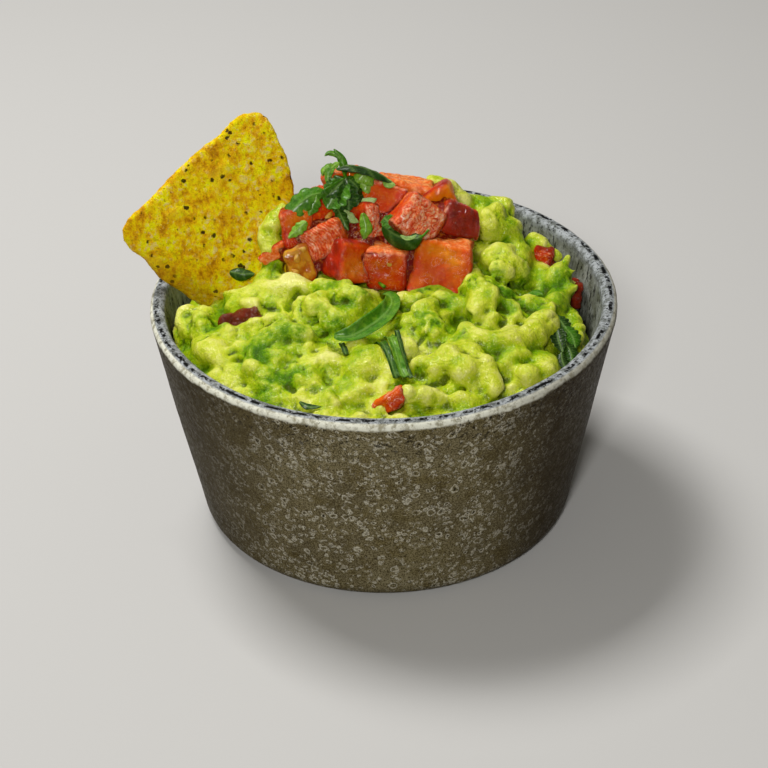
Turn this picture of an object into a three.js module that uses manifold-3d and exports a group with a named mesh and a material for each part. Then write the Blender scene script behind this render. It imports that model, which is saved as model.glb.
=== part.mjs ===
// A stoneware bowl heaped with guacamole, topped with diced tomato and one tortilla chip.
// Millimetres, +Z up, origin at the centre of the bowl's flat base, +Y to the back.
// Each piece of food keeps a clearance of CLEARANCE to the pieces that it touches.
import * as THREE from "three";
import { RoundedBoxGeometry } from "three/addons/geometries/RoundedBoxGeometry.js";
import { mergeVertices } from "three/addons/utils/BufferGeometryUtils.js";
import Module from "manifold-3d";

const wasm = await Module();
wasm.setup();

// ---------- driving dimensions ----------
const CLEARANCE = 0.35;

const RIM_RADIUS = 60;
const BOWL_HEIGHT = 61;
const BASE_RADIUS = 49.4;
const WALL = 4;
const FLOOR = 5;
const FOOT_ROUNDING = 4.5;
const RIM_ROUNDING = 1.7;
const INNER_CORNER = 12;
const GROOVE_RADIUS = 40; // turned groove round the underside, where the glaze stops
const GROOVE_WIDTH = 2.4;
const GROOVE_DEPTH = 0.9;
const BOWL_SECTORS = 48;

const FRONT_LEVEL = 57.6; // height of the dip against the wall, at the front
const BACK_LEVEL = 54.4;
const HIGHEST_AT_WALL = 59.4;
const MOUND_TOP = 64.5;
const MOUND_FULLNESS = 3; // a larger power makes the top of the mound flatter
const WALL_DIP_FALL = 5; // a larger power keeps the low stretches nearer the wall
const CROWN = { x: 0, y: 22, height: 8, halfWidth: 17 };
const DIP_SECTORS = 60;
const DIP_RINGS = 15;
const DIP_SIDE_ROWS = 3;

const CHIP_THICKNESS = 1.9;
const CHIP_LIP = { width: 10, bend: 2.6 }; // the lower edge bends back over this width
const CHIP_BOW = { width: 34, bend: 2.2 }; // and the rest bows back gently towards the top corner
const CHIP_LEAN = 22; // degrees back from upright
const CHIP_TURN = 10;
const CHIP_FOOT = [-46, 1.9, 57]; // the chip's own origin, low on its left edge

const DIE_ROUNDING = 1.1;
const DIE_SKEW = 0.16; // how far a die is from square
const DIE_TAPER = 0.2; // share of its size by which one end of a die is larger than the other

// ---------- small helpers ----------
const degrees = THREE.MathUtils.degToRad;

// A repeatable number from 0 to 1 for each whole number n.
function scatter(n) {
  const wave = Math.sin(n * 12.9898 + 4.1414) * 43758.5453;
  return wave - Math.floor(wave);
}

function arc(cx, cy, radius, from, to, steps) {
  const points = [];
  for (let i = 0; i <= steps; i++) {
    const angle = degrees(from + ((to - from) * i) / steps);
    points.push(new THREE.Vector2(cx + radius * Math.cos(angle), cy + radius * Math.sin(angle)));
  }
  return points;
}

function toSolid(geometry) {
  const bare = new THREE.BufferGeometry();
  bare.setAttribute("position", geometry.getAttribute("position"));
  bare.setIndex(geometry.index);
  const merged = mergeVertices(bare, 1e-3);
  return new wasm.Manifold(
    new wasm.Mesh({
      numProp: 3,
      vertProperties: merged.attributes.position.array,
      triVerts: new Uint32Array(merged.index.array),
    }),
  );
}

function toGeometry(solid) {
  const mesh = solid.getMesh();
  const geometry = new THREE.BufferGeometry();
  geometry.setAttribute("position", new THREE.BufferAttribute(mesh.vertProperties, 3));
  geometry.setIndex(new THREE.BufferAttribute(mesh.triVerts, 1));
  return geometry;
}

// The largest body of a solid, so that a cut leaves no loose crumb.
function largestBody(solid) {
  const bodies = solid.decompose();
  return bodies.reduce((a, b) => (a.volume() >= b.volume() ? a : b));
}

// A closed surface from rows of points: row 0 and the last row are single poles.
function closedRows(rows, sectors) {
  const positions = [];
  const starts = [];
  for (const row of rows) {
    starts.push(positions.length / 3);
    for (const p of row) positions.push(p.x, p.y, p.z);
  }
  const index = [];
  for (let r = 0; r + 1 < rows.length; r++) {
    for (let s = 0; s < sectors; s++) {
      const next = (s + 1) % sectors;
      const a = starts[r] + (rows[r].length === 1 ? 0 : s);
      const b = starts[r] + (rows[r].length === 1 ? 0 : next);
      const c = starts[r + 1] + (rows[r + 1].length === 1 ? 0 : s);
      const d = starts[r + 1] + (rows[r + 1].length === 1 ? 0 : next);
      if (rows[r].length > 1) index.push(a, c, b);
      if (rows[r + 1].length > 1) index.push(b, c, d);
    }
  }
  const geometry = new THREE.BufferGeometry();
  geometry.setAttribute("position", new THREE.Float32BufferAttribute(positions, 3));
  geometry.setIndex(index);
  return geometry;
}

function material(color, roughness) {
  return new THREE.MeshStandardMaterial({ color, roughness, metalness: 0 });
}

// ---------- bowl ----------
const wallSlope = (RIM_RADIUS - BASE_RADIUS) / BOWL_HEIGHT;
const innerRadius = (z) => BASE_RADIUS + wallSlope * z - WALL;

// The inner corner between wall and floor, drawn in by an inset for the food that fills it.
function innerCorner(inset, steps) {
  const radius = INNER_CORNER - inset;
  const centreZ = FLOOR + INNER_CORNER;
  const centreR = innerRadius(centreZ) - INNER_CORNER;
  return arc(centreR, centreZ, radius, 0, -90, steps);
}

function bowlGeometry() {
  const underside = [
    new THREE.Vector2(0, 0),
    new THREE.Vector2(GROOVE_RADIUS - GROOVE_WIDTH, 0),
    new THREE.Vector2(GROOVE_RADIUS - GROOVE_WIDTH / 2, GROOVE_DEPTH),
    new THREE.Vector2(GROOVE_RADIUS, 0),
  ];
  const foot = arc(BASE_RADIUS - FOOT_ROUNDING, FOOT_ROUNDING, FOOT_ROUNDING, -90, -8, 4);
  const rimZ = BOWL_HEIGHT - RIM_ROUNDING;
  const lip = arc(RIM_RADIUS - RIM_ROUNDING, rimZ, RIM_ROUNDING, -8, 90, 3);
  const inside = arc(RIM_RADIUS - WALL + RIM_ROUNDING, rimZ, RIM_ROUNDING, 90, 180, 3);
  const corner = innerCorner(0, 4);
  const profile = [...underside, ...foot, ...lip, ...inside, ...corner, new THREE.Vector2(0, FLOOR)];
  return new THREE.LatheGeometry(profile, BOWL_SECTORS).rotateX(Math.PI / 2);
}

// ---------- the dip's surface ----------
// Big folds and lumps: x, y, height above the mound, half length, half width, turn in degrees.
const FOLDS = [
  [27.6, 21, 9, 6.5, 6.5, 0], // ball beside the tomato
  [31.5, 31, 13, 8.5, 6, -30],
  [31.5, 9.5, 6, 6.5, 5, 20],
  [24.5, -3, 4, 4.5, 6.5, 0],
  [41.5, 25, 9.5, 5.5, 7, 0],
  [46.5, 15, 7, 5, 6, 0],
  [35, -11, 4, 14, 5, 20], // long ridge on the right
  [43.5, -4, 3.5, 4.5, 5, 0],
  [22, -31, 2.5, 14, 9, 20],
  [38, -33, 2.5, 5, 4, 40],
  [17, 34, 11.5, 8.5, 11, 20],
  [-20, 41, 5, 11, 7, 25],
  [-22, -5.5, 3, 15, 5, 4], // long ridge on the left
  [-29, 5.5, 7.5, 4.5, 3.2, 20], // smear against the chip
  [-12, -14, 3.5, 9, 6, 10],
  [-48, -6, 5.5, 5, 5.5, 30],
  [-44, -18, 3, 6, 6, 0],
  [-26, -24, 2.5, 9, 6, -30],
  [-3, -34, 2.5, 7, 5, 0],
  [8, -17, 3, 9, 4.5, 12],
];

// The dip lies lower along these stretches of wall: middle and half width in degrees, depth.
const WALL_DIPS = [
  [22, 78, 11.5],
  [172, 55, 4],
];

// Mash relief: wavelength in mm, amplitude, direction in degrees.
const RELIEF = [
  [19, 0.8, 20],
  [15, 0.8, 100],
  [11, 0.7, 155],
  [8.3, 0.55, 60],
];

function restLevel(turn) {
  return (FRONT_LEVEL + BACK_LEVEL) / 2 - ((FRONT_LEVEL - BACK_LEVEL) / 2) * Math.sin(turn);
}

function wallDip(turn) {
  let depth = 0;
  for (const [at, halfWidth, deepest] of WALL_DIPS) {
    const away = turn - degrees(at);
    const share = Math.abs(Math.atan2(Math.sin(away), Math.cos(away))) / degrees(halfWidth);
    if (share < 1) depth += (deepest / 2) * (1 + Math.cos(Math.PI * share));
  }
  return depth;
}

function foldHeight(x, y) {
  let height = 0;
  for (const [cx, cy, rise, halfLength, halfWidth, turn] of FOLDS) {
    const c = Math.cos(degrees(turn));
    const s = Math.sin(degrees(turn));
    const along = ((x - cx) * c + (y - cy) * s) / halfLength;
    const across = (-(x - cx) * s + (y - cy) * c) / halfWidth;
    const reach = along * along + across * across;
    if (reach < 1) height = Math.max(height, rise * Math.sqrt(1 - reach));
  }
  return height;
}

function reliefHeight(x, y) {
  let height = 0;
  RELIEF.forEach(([wavelength, amplitude, direction], i) => {
    const along = x * Math.cos(degrees(direction)) + y * Math.sin(degrees(direction));
    const across = -x * Math.sin(degrees(direction)) + y * Math.cos(degrees(direction));
    const bend = 1.4 * Math.sin((2 * Math.PI * across) / (wavelength * 1.7) + i);
    height += amplitude * Math.sin((2 * Math.PI * along) / wavelength + bend);
  });
  return height;
}

function dipHeight(x, y) {
  const turn = Math.atan2(y, x);
  const rest = restLevel(turn);
  const dip = wallDip(turn);
  const out = Math.min(1, Math.hypot(x, y) / innerRadius(rest - dip));
  const mound = rest + (MOUND_TOP - rest) * (1 - out ** MOUND_FULLNESS) - dip * out ** WALL_DIP_FALL;
  const away = ((x - CROWN.x) ** 2 + (y - CROWN.y) ** 2) / CROWN.halfWidth ** 2;
  return mound + CROWN.height * Math.exp(-away) + foldHeight(x, y) + reliefHeight(x, y);
}

function guacamoleGeometry() {
  const corner = innerCorner(CLEARANCE, 4);
  const columns = [];
  for (let s = 0; s < DIP_SECTORS; s++) {
    const turn = (2 * Math.PI * s) / DIP_SECTORS;
    const at = (r, z) => new THREE.Vector3(r * Math.cos(turn), r * Math.sin(turn), z);
    const surface = (r) => dipHeight(r * Math.cos(turn), r * Math.sin(turn));
    const level = restLevel(turn) - wallDip(turn);
    const edge = Math.min(surface(innerRadius(level) - CLEARANCE), HIGHEST_AT_WALL);
    const edgeRadius = innerRadius(edge) - CLEARANCE;
    const column = [];
    for (let k = 1; k < DIP_RINGS; k++) {
      const r = edgeRadius * (k / DIP_RINGS) ** 0.85;
      column.push(at(r, surface(r)));
    }
    column.push(at(edgeRadius, edge));
    for (let k = 1; k < DIP_SIDE_ROWS; k++) {
      const z = edge + ((corner[0].y - edge) * k) / DIP_SIDE_ROWS;
      column.push(at(innerRadius(z) - CLEARANCE, z));
    }
    for (const p of corner) column.push(at(p.x, p.y));
    columns.push(column);
  }
  const rings = columns[0].map((_, k) => columns.map((column) => column[k]));
  const top = new THREE.Vector3(0, 0, dipHeight(0, 0));
  const bottom = new THREE.Vector3(0, 0, FLOOR + CLEARANCE);
  return closedRows([[top], ...rings, [bottom]], DIP_SECTORS);
}

// ---------- tortilla chip ----------
// Its corners in its own plane (x to the right, y up the chip), and how far each side bulges.
const CHIP_CORNERS = [
  [-24.2, 18.8],
  [18.6, 51.2],
  [34, -19],
];
const CHIP_BULGES = [0.5, 1.4, 3.6]; // of the side that follows each corner
const CHIP_ROUNDINGS = [11.5, 7.6, 8]; // the length that each corner's rounding takes off its sides

function chipOutline(grow) {
  const corners = CHIP_CORNERS.map(([x, y]) => new THREE.Vector2(x, y));
  const cut = (i, to) => {
    const share = CHIP_ROUNDINGS[i] / corners[i].distanceTo(corners[to]);
    return corners[i].clone().lerp(corners[to], share);
  };
  const points = corners.flatMap((corner, i) => {
    const [after, before] = [(i + 1) % 3, (i + 2) % 3];
    const leave = cut(i, after);
    const arrive = cut(after, i);
    const outward = new THREE.Vector2(leave.y - arrive.y, arrive.x - leave.x).normalize();
    const middle = leave.clone().lerp(arrive, 0.5).addScaledVector(outward, 2 * CHIP_BULGES[i]);
    const round = new THREE.QuadraticBezierCurve(cut(i, before), corner, leave);
    const side = new THREE.QuadraticBezierCurve(leave, middle, arrive);
    return [...round.getPoints(5), ...side.getPoints(7).slice(1, -1)];
  });
  const centre = new THREE.Vector2();
  for (const p of points) centre.addScaledVector(p, 1 / points.length);
  for (const p of points) p.addScaledVector(p.clone().sub(centre).normalize(), grow);
  return { points, centre };
}

// How far the chip lies before or behind its own plane, from the distance to its lower left edge.
function chipCurl(x, y) {
  const [left, , tip] = CHIP_CORNERS.map(([cx, cy]) => new THREE.Vector2(cx, cy));
  const along = tip.sub(left).normalize();
  const up = (y - left.y) * along.x - (x - left.x) * along.y;
  if (up < CHIP_LIP.width) return -CHIP_LIP.bend * (1 - up / CHIP_LIP.width) ** 2;
  return -CHIP_BOW.bend * ((up - CHIP_LIP.width) / CHIP_BOW.width) ** 2;
}

function chipGeometry(grow) {
  const rings = [0.4, 0.75, 0.97];
  const half = CHIP_THICKNESS / 2 + grow;
  const { points, centre } = chipOutline(grow);
  const at = (share, s, side) => {
    const x = centre.x + (points[s].x - centre.x) * share;
    const y = centre.y + (points[s].y - centre.y) * share;
    return new THREE.Vector3(x, y, chipCurl(x, y) + side);
  };
  const ring = (share, side) => points.map((_, s) => at(share, s, side));
  const rows = [[at(0, 0, half)]];
  for (const share of rings) rows.push(ring(share, half));
  rows.push(ring(1, half * 0.45), ring(1, -half * 0.45));
  for (const share of [...rings].reverse()) rows.push(ring(share, -half));
  rows.push([at(0, 0, -half)]);
  return closedRows([...rows].reverse(), points.length);
}

function placeChip(object) {
  object.rotation.set(degrees(90 - CHIP_LEAN), 0, degrees(CHIP_TURN), "ZYX");
  object.position.set(...CHIP_FOOT);
  object.updateMatrixWorld();
  return object;
}

// ---------- tomato ----------
// Each die: name, middle, size, then lean (about X), roll (about Y) and turn (about Z) in degrees.
const TOMATO = [
  ["tomato_front_right", [14.6, 2.8, 67.6], [15, 12, 14], [-26, 7, -4]],
  ["tomato_upper_left", [-14, 7.5, 72.9], [12.6, 10, 8.5], [-27, -31, -4]],
  ["tomato_front_left", [-9.2, 2.8, 69.4], [9.5, 9.5, 9.2], [-24, 20, 28]],
  ["tomato_front_middle", [2.3, 3, 67.6], [10, 11, 9.8], [-10, 0, -14]],
  ["tomato_upper_right", [8.9, 8.6, 78], [11, 8.5, 10], [-34, 42, 0]],
  ["tomato_far_left", [-21.9, 9.2, 75.8], [7.5, 6.5, 9.6], [-22, -8, 10]],
  ["tomato_jelly_left", [-21.4, 3.4, 68.6], [7.2, 6.5, 10], [-26, -16, 8]],
  ["tomato_strip_left", [-27.2, 5, 70.4], [8.5, 3, 2.8], [-30, -33, 4]],
  ["tomato_crown_left", [-15.8, 13.5, 76], [9.5, 8, 10.5], [-26, 14, 14]],
  ["tomato_peak", [-8.6, 18.4, 82.8], [9.2, 8.5, 7.5], [-24, -8, 16]],
  ["tomato_crown_middle", [0.6, 15.4, 79.6], [10.5, 9, 8.5], [-28, 14, -16]],
  ["tomato_crown_back", [6.2, 21.6, 78.2], [14, 10, 7.5], [-16, 9, 2]],
  ["tomato_far_right", [18.9, 13.2, 74.4], [9.8, 8, 8.5], [-32, 30, 18]],
  ["tomato_right", [15.4, 17.2, 77.2], [8, 8, 9.5], [-24, -24, 10]],
  ["tomato_middle", [-2.8, 11.2, 76.6], [9, 8, 9], [-30, 10, 34]],
  ["tomato_back_middle", [-3.5, 26.5, 74.8], [12, 10, 9], [18, 8, 12]],
  ["tomato_back_right", [6, 31.5, 70.5], [11, 9, 10], [26, -10, -18]],
  ["tomato_back_left", [-13.5, 23.5, 71.4], [11, 10, 10], [22, 12, 30]],
  ["tomato_bit_left", [-35.4, -12.6, 60.8], [10, 5, 5.5], [-34, -22, 4]],
  ["tomato_bit_front", [1.2, -46.8, 58.6], [8, 4.5, 3.6], [-30, -38, 0]],
  ["tomato_bit_back", [42.4, 20.4, 58], [5, 5.5, 7], [-20, 12, -18]],
  ["tomato_bit_wall", [50.2, 12.4, 52], [3.4, 5, 7], [-8, 8, 12]],
];

// No two dice have the same shape: each leans out of square and tapers, with its faces still flat.
function dieSkew(size, seed) {
  const stray = (i) => 2 * scatter(seed * 17 + i) - 1;
  const [x, y, z] = size.map((d, axis) => (stray(6 + axis) * DIE_TAPER) / d);
  const [a, b, c, d, e, f] = [0, 1, 2, 3, 4, 5].map((i) => (stray(i) * DIE_SKEW) / 2);
  return new THREE.Matrix4().set(1, a, b, 0, c, 1, d, 0, e, f, 1, 0, x, y, z, 1);
}

function placeDie(object, at, tilt) {
  object.rotation.set(...tilt.map(degrees), "ZYX");
  object.position.set(...at);
  object.updateMatrixWorld();
  return object;
}

// A die, and the sharp-edged hollow that it presses into whatever it touches.
function dieSolids([, at, size, tilt], seed) {
  const placed = placeDie(new THREE.Object3D(), at, tilt).matrixWorld.multiply(dieSkew(size, seed));
  const rounding = Math.min(DIE_ROUNDING, Math.min(...size) / 4);
  const rounded = new RoundedBoxGeometry(...size, 1, rounding).applyMatrix4(placed);
  const hollow = new THREE.BoxGeometry(...size.map((d) => d + 2 * CLEARANCE)).applyMatrix4(placed);
  return [rounded, hollow].map(toSolid);
}

// ---------- assembly ----------
const guacamoleBowl = new THREE.Group();

function add(name, geometry, looks) {
  const mesh = new THREE.Mesh(geometry, looks);
  mesh.name = name;
  guacamoleBowl.add(mesh);
  return mesh;
}

add("bowl", bowlGeometry(), material("#5b5340", 0.55));

const chipMesh = placeChip(add("tortilla_chip", chipGeometry(0), material("#d9a80c", 0.75)));
const grownChip = toSolid(chipGeometry(CLEARANCE).applyMatrix4(chipMesh.matrixWorld));

// Each die is pressed against those laid before it, so the later one takes the dent.
const tomatoLooks = material("#c8330f", 0.35);
const dice = TOMATO.map(dieSolids);
dice.forEach(([die], i) => {
  let solid = die.subtract(grownChip);
  for (const [, hollow] of dice.slice(0, i)) solid = solid.subtract(hollow);
  add(TOMATO[i][0], toGeometry(largestBody(solid)), tomatoLooks);
});

// The dip is dented by everything that is set in it.
let dip = toSolid(guacamoleGeometry()).subtract(grownChip);
for (const [, hollow] of dice) dip = dip.subtract(hollow);
add("guacamole", toGeometry(largestBody(dip)), material("#9fb02a", 0.5));

export default guacamoleBowl;
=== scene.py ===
import itertools
import math
import random

import bmesh
import bpy
import numpy as np
from mathutils import Euler, Matrix, Vector
from mathutils.bvhtree import BVHTree


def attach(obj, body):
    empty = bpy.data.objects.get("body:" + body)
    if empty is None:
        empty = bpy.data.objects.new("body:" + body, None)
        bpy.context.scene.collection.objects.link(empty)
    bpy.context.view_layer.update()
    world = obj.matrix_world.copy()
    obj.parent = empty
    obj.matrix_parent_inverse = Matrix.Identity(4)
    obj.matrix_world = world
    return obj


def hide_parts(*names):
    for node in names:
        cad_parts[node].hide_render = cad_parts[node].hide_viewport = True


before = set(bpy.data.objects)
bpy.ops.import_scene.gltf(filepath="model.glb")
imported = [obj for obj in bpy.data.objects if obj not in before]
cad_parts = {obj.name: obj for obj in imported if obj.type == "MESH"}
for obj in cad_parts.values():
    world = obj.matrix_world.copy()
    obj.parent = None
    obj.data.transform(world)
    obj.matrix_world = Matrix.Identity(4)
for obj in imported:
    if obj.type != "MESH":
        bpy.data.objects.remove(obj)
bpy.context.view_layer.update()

# Work is done in millimetres in the part's own frame; pieces are scaled to metres when made.
MM = 0.001
DOWN = Vector((0, 0, -1))
OVERHEAD = 200
# Sizes of the cells that the pieces' meshes are made of.
MASH_VOXEL, CHIP_VOXEL, DIE_VOXEL, SMALL_DIE_VOXEL, PULP_VOXEL, SWOLLEN_VOXEL = 0.575, 0.36, 0.3, 0.22, 0.6, 0.8


# ---------------------------------------------------------------- numbers
def scrambled(cell, seed):
    """A repeatable random whole number for each cell of a grid."""
    h = (cell[:, 0] * 73856093) ^ (cell[:, 1] * 19349663) ^ (cell[:, 2] * 83492791)
    h = (h ^ (seed * 40503 + 977)) & 0x7FFFFFFF
    h = ((h ^ (h >> 13)) * 1274126177) & 0x7FFFFFFF
    return h ^ (h >> 16)


def noise3(points, seed):
    """Smooth gradient noise, about -1 to 1, with cells of size 1."""
    cell = np.floor(points).astype(np.int64)
    part = points - cell
    fade = part * part * part * (part * (part * 6 - 15) + 10)
    total = np.zeros(len(points))
    for corner in itertools.product((0, 1), repeat=3):
        h = scrambled(cell + np.array(corner), seed)
        turn = (h & 1023) * (2 * math.pi / 1024)
        lift = ((h >> 10) & 1023) / 511.5 - 1
        flat = np.sqrt(np.maximum(0, 1 - lift * lift))
        away = part - np.array(corner)
        dot = flat * np.cos(turn) * away[:, 0] + flat * np.sin(turn) * away[:, 1] + lift * away[:, 2]
        weight = np.ones(len(points))
        for axis in range(3):
            weight = weight * (fade[:, axis] if corner[axis] else 1 - fade[:, axis])
        total += weight * dot
    return total * 1.7


def octaves(points, size, seed, count=3, gain=0.5):
    """Noise with bumps of this size and finer ones added."""
    total, weight = np.zeros(len(points)), 1.0
    for k in range(count):
        total += weight * noise3(points * (2 ** k / size), seed + 31 * k)
        weight *= gain
    return total


def drift(points, size, seed, count):
    """Noise in three directions, to bend other noise with."""
    return np.stack([octaves(points, size, seed + k, count) for k in range(3)], 1)


def chunks(points, size, seed, sharp=7):
    """Heights, about -1 to 1, of a surface broken into tilted flakes of about this size."""
    place = points / size
    cell = np.floor(place).astype(np.int64)
    total, weight = np.zeros(len(points)), np.zeros(len(points))
    for corner in itertools.product((-1, 0, 1), repeat=3):
        c = cell + np.array(corner)
        h, g = scrambled(c, seed), scrambled(c, seed + 7)
        away = place - c - 0.15 - 0.7 * np.stack([((h >> k) & 255) / 255 for k in (0, 8, 16)], 1)
        tilt = np.stack([((g >> k) & 255) / 127.5 - 1 for k in (0, 8, 16)], 1)
        near = np.exp(-sharp * (away ** 2).sum(1))
        total += near * (1.5 * (tilt * away).sum(1) + ((h >> 22) & 255) / 255 - 0.5)
        weight += near
    return total / weight


def nearness(points, at, reach):
    """1 at a place and less with distance from it."""
    return np.exp(-((points - np.array(at)) ** 2).sum(1) / reach ** 2)


def smoothstep(low, high, value):
    t = np.clip((value - low) / (high - low), 0, 1)
    return t * t * (3 - 2 * t)


def colour(code):
    """A hex colour as linear RGBA."""
    parts = [int(code[i:i + 2], 16) / 255 for i in (1, 3, 5)]
    return tuple(c / 12.92 if c <= 0.04045 else ((c + 0.055) / 1.055) ** 2.4 for c in parts) + (1.0,)


# ---------------------------------------------------------------- meshes
def rows_of(items, name, size, kind=float):
    """One property of all items of a mesh, with a row for each item."""
    values = np.empty(len(items) * size, kind)
    items.foreach_get(name, values)
    return values.reshape(-1, size)


def arrays(mesh):
    return rows_of(mesh.vertices, "co", 3), rows_of(mesh.edges, "vertices", 2, np.int64)


def normals_of(mesh):
    return rows_of(mesh.vertex_normals, "vector", 3)


def faces_of(mesh):
    return [tuple(p.vertices) for p in mesh.polygons]


def set_points(mesh, points):
    mesh.vertices.foreach_set("co", np.asarray(points, np.float32).ravel())
    mesh.update()


def cad_data(node):
    """Vertices in mm and faces of a CAD node."""
    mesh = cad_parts[node].data
    return rows_of(mesh.vertices, "co", 3) / MM, faces_of(mesh)


def averaged(values, edges, rounds):
    """Values at vertices, blurred along the mesh's edges."""
    values = np.array(values, float)
    count = np.bincount(edges.ravel(), minlength=len(values)).astype(float)
    count[count == 0] = 1
    for _ in range(rounds):
        flat = values.reshape(len(values), -1)
        total = np.stack([
            np.bincount(edges[:, 0], flat[edges[:, 1], k], len(flat))
            + np.bincount(edges[:, 1], flat[edges[:, 0], k], len(flat))
            for k in range(flat.shape[1])], 1)
        values = (flat * 0.5 + 0.5 * total / count[:, None]).reshape(values.shape)
    return values


def plain_mesh(name, points, faces):
    mesh = bpy.data.meshes.new(name)
    mesh.from_pydata([tuple(p) for p in points], [], faces)
    return mesh


def voxel_mesh(name, points, faces, voxel, rounds=0):
    """The union of closed shapes as one even mesh, in mm, smoothed for some rounds."""
    mesh = plain_mesh(name, points, faces)
    obj = bpy.data.objects.new(name, mesh)
    bpy.context.scene.collection.objects.link(obj)
    remesh = obj.modifiers.new("remesh", "REMESH")
    remesh.mode = "VOXEL"
    remesh.voxel_size = voxel
    bpy.context.view_layer.update()
    made = bpy.data.meshes.new_from_object(obj.evaluated_get(bpy.context.evaluated_depsgraph_get()))
    bpy.data.objects.remove(obj)
    bpy.data.meshes.remove(mesh)
    made.name = name
    points, edges = arrays(made)
    points = averaged(points, edges, rounds)
    set_points(made, points)
    return made, points, edges


def attributes(mesh, **fields):
    """Numbers or vectors at the vertices, which the materials read."""
    for name, values in fields.items():
        vector = np.ndim(values) == 2
        made = mesh.attributes.new(name, "FLOAT_VECTOR" if vector else "FLOAT", "POINT")
        made.data.foreach_set("vector" if vector else "value", np.asarray(values, np.float32).ravel())


def piece(name, mesh, material, slot=None, *replaced):
    """Makes a finished piece of a mesh in mm."""
    set_points(mesh, arrays(mesh)[0] * MM)
    for polygon in mesh.polygons:
        polygon.use_smooth = True
    mesh.materials.clear()
    mesh.materials.append(material)
    obj = bpy.data.objects.new(name, mesh)
    bpy.context.scene.collection.objects.link(obj)
    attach(obj, "root")
    if replaced:
        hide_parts(*replaced)
    return obj


def sphere_shape(level):
    bm = bmesh.new()
    bmesh.ops.create_icosphere(bm, subdivisions=level, radius=1)
    points = np.array([v.co for v in bm.verts])
    faces = [tuple(v.index for v in f.verts) for f in bm.faces]
    bm.free()
    return points, faces


class Soup:
    """Shapes gathered into one list of points and one of faces."""

    def __init__(self):
        self.points, self.faces, self.count = [], [], 0

    def add(self, points, faces):
        self.points.append(points)
        self.faces += [tuple(i + self.count for i in f) for f in faces]
        self.count += len(points)

    def all(self):
        return np.concatenate(self.points), self.faces


def tree_of(*nodes):
    """The surface of CAD nodes, for finding what is near or below a place."""
    soup = Soup()
    for node in nodes:
        soup.add(*cad_data(node))
    points, faces = soup.all()
    return BVHTree.FromPolygons([Vector(p) for p in points], faces)


def below(tree, x, y, scale=1):
    """Where a plumb line meets a surface, and the way the surface faces there."""
    hit, normal, _, _ = tree.ray_cast(Vector((x, y, OVERHEAD)) * scale, DOWN)
    return hit, normal


# ---------------------------------------------------------------- materials
class Value:
    """What a node gives, a number or a vector, for use in sums and products."""

    def __init__(self, nodes, socket):
        self.nodes, self.socket = nodes, socket

    def worked(self, op, other):
        if self.socket.type != "VECTOR":
            return self.nodes.math(op, self, other)
        if op == "MULTIPLY" and not isinstance(other, tuple):
            return self.nodes.new("VectorMath", {0: self, "Scale": other}, operation="SCALE")
        return self.nodes.new("VectorMath", {0: self, 1: other}, operation=op)

    def __add__(self, other):
        return self.worked("ADD", other)

    def __sub__(self, other):
        return self.worked("SUBTRACT", other)

    def __mul__(self, other):
        return self.worked("MULTIPLY", other)


class Nodes:
    """A small helper that wires shader nodes."""

    LOOKS = {
        "base": "Base Color", "rough": "Roughness", "normal": "Normal", "specular": "Specular IOR Level",
        "sss": "Subsurface Weight", "sss_radius": "Subsurface Radius", "sss_scale": "Subsurface Scale",
        "coat": "Coat Weight", "coat_rough": "Coat Roughness", "coat_normal": "Coat Normal",
    }

    def __init__(self, name):
        self.material = bpy.data.materials.new(name)
        self.material.use_nodes = True
        self.tree = self.material.node_tree
        self.tree.nodes.clear()
        self.bsdf = self.node("BsdfPrincipled", {})
        self.node("OutputMaterial", {0: Value(self, self.bsdf.outputs[0])})
        self.place = self.new("TexCoord", {}, "Object") * (1 / MM)

    def put(self, socket, value):
        if isinstance(value, Value):
            self.tree.links.new(value.socket, socket)
        else:
            socket.default_value = colour(value) if isinstance(value, str) else value

    def node(self, kind, inputs, **settings):
        made = self.tree.nodes.new("ShaderNode" + kind)
        for name, value in settings.items():
            setattr(made, name, value)
        for name, value in inputs.items():
            self.put(made.inputs[name], value)
        return made

    def new(self, kind, inputs, output=0, **settings):
        return Value(self, self.node(kind, inputs, **settings).outputs[output])

    def math(self, op, a, b=0.0, clamp=False):
        return self.new("Math", {0: a, 1: b}, operation=op, use_clamp=clamp)

    def parts(self, vector):
        return [Value(self, s) for s in self.node("SeparateXYZ", {0: vector}).outputs]

    def vector(self, x, y, z):
        return self.new("CombineXYZ", {0: x, 1: y, 2: z})

    def noise(self, scale, detail=3.0, rough=0.55, distortion=0.0, at=None):
        return self.new("TexNoise", {
            "Vector": at or self.place, "Scale": scale, "Detail": detail, "Roughness": rough,
            "Distortion": distortion}, "Fac")

    def cells(self, scale, at, output="Distance"):
        return self.new("TexVoronoi", {"Vector": at, "Scale": scale}, output)

    def value(self, name, output="Fac"):
        return self.new("Attribute", {}, output, attribute_name=name)

    def range(self, value, low, high, to_low=0.0, to_high=1.0):
        return self.new("MapRange", {
            "Value": value, "From Min": low, "From Max": high, "To Min": to_low, "To Max": to_high},
            interpolation_type="SMOOTHSTEP")

    def mix(self, share, a, b):
        return self.new("Mix", {0: share, 6: a, 7: b}, 2, data_type="RGBA", clamp_factor=True)

    def ramp(self, value, stops):
        node = self.node("ValToRGB", {0: value})
        elements = node.color_ramp.elements
        elements.remove(elements[1])
        elements[0].position, elements[0].color = stops[0][0], colour(stops[0][1])
        for at, code in stops[1:]:
            elements.new(at).color = colour(code)
        return Value(self, node.outputs[0])

    def bump(self, height, strength, distance, before=None):
        under = {"Normal": before} if before else {}
        return self.new("Bump", {"Strength": strength, "Distance": distance * MM, "Height": height, **under})

    def look(self, **values):
        for key, value in values.items():
            self.put(self.bsdf.inputs[self.LOOKS[key]], value)
        return self.material


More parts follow.
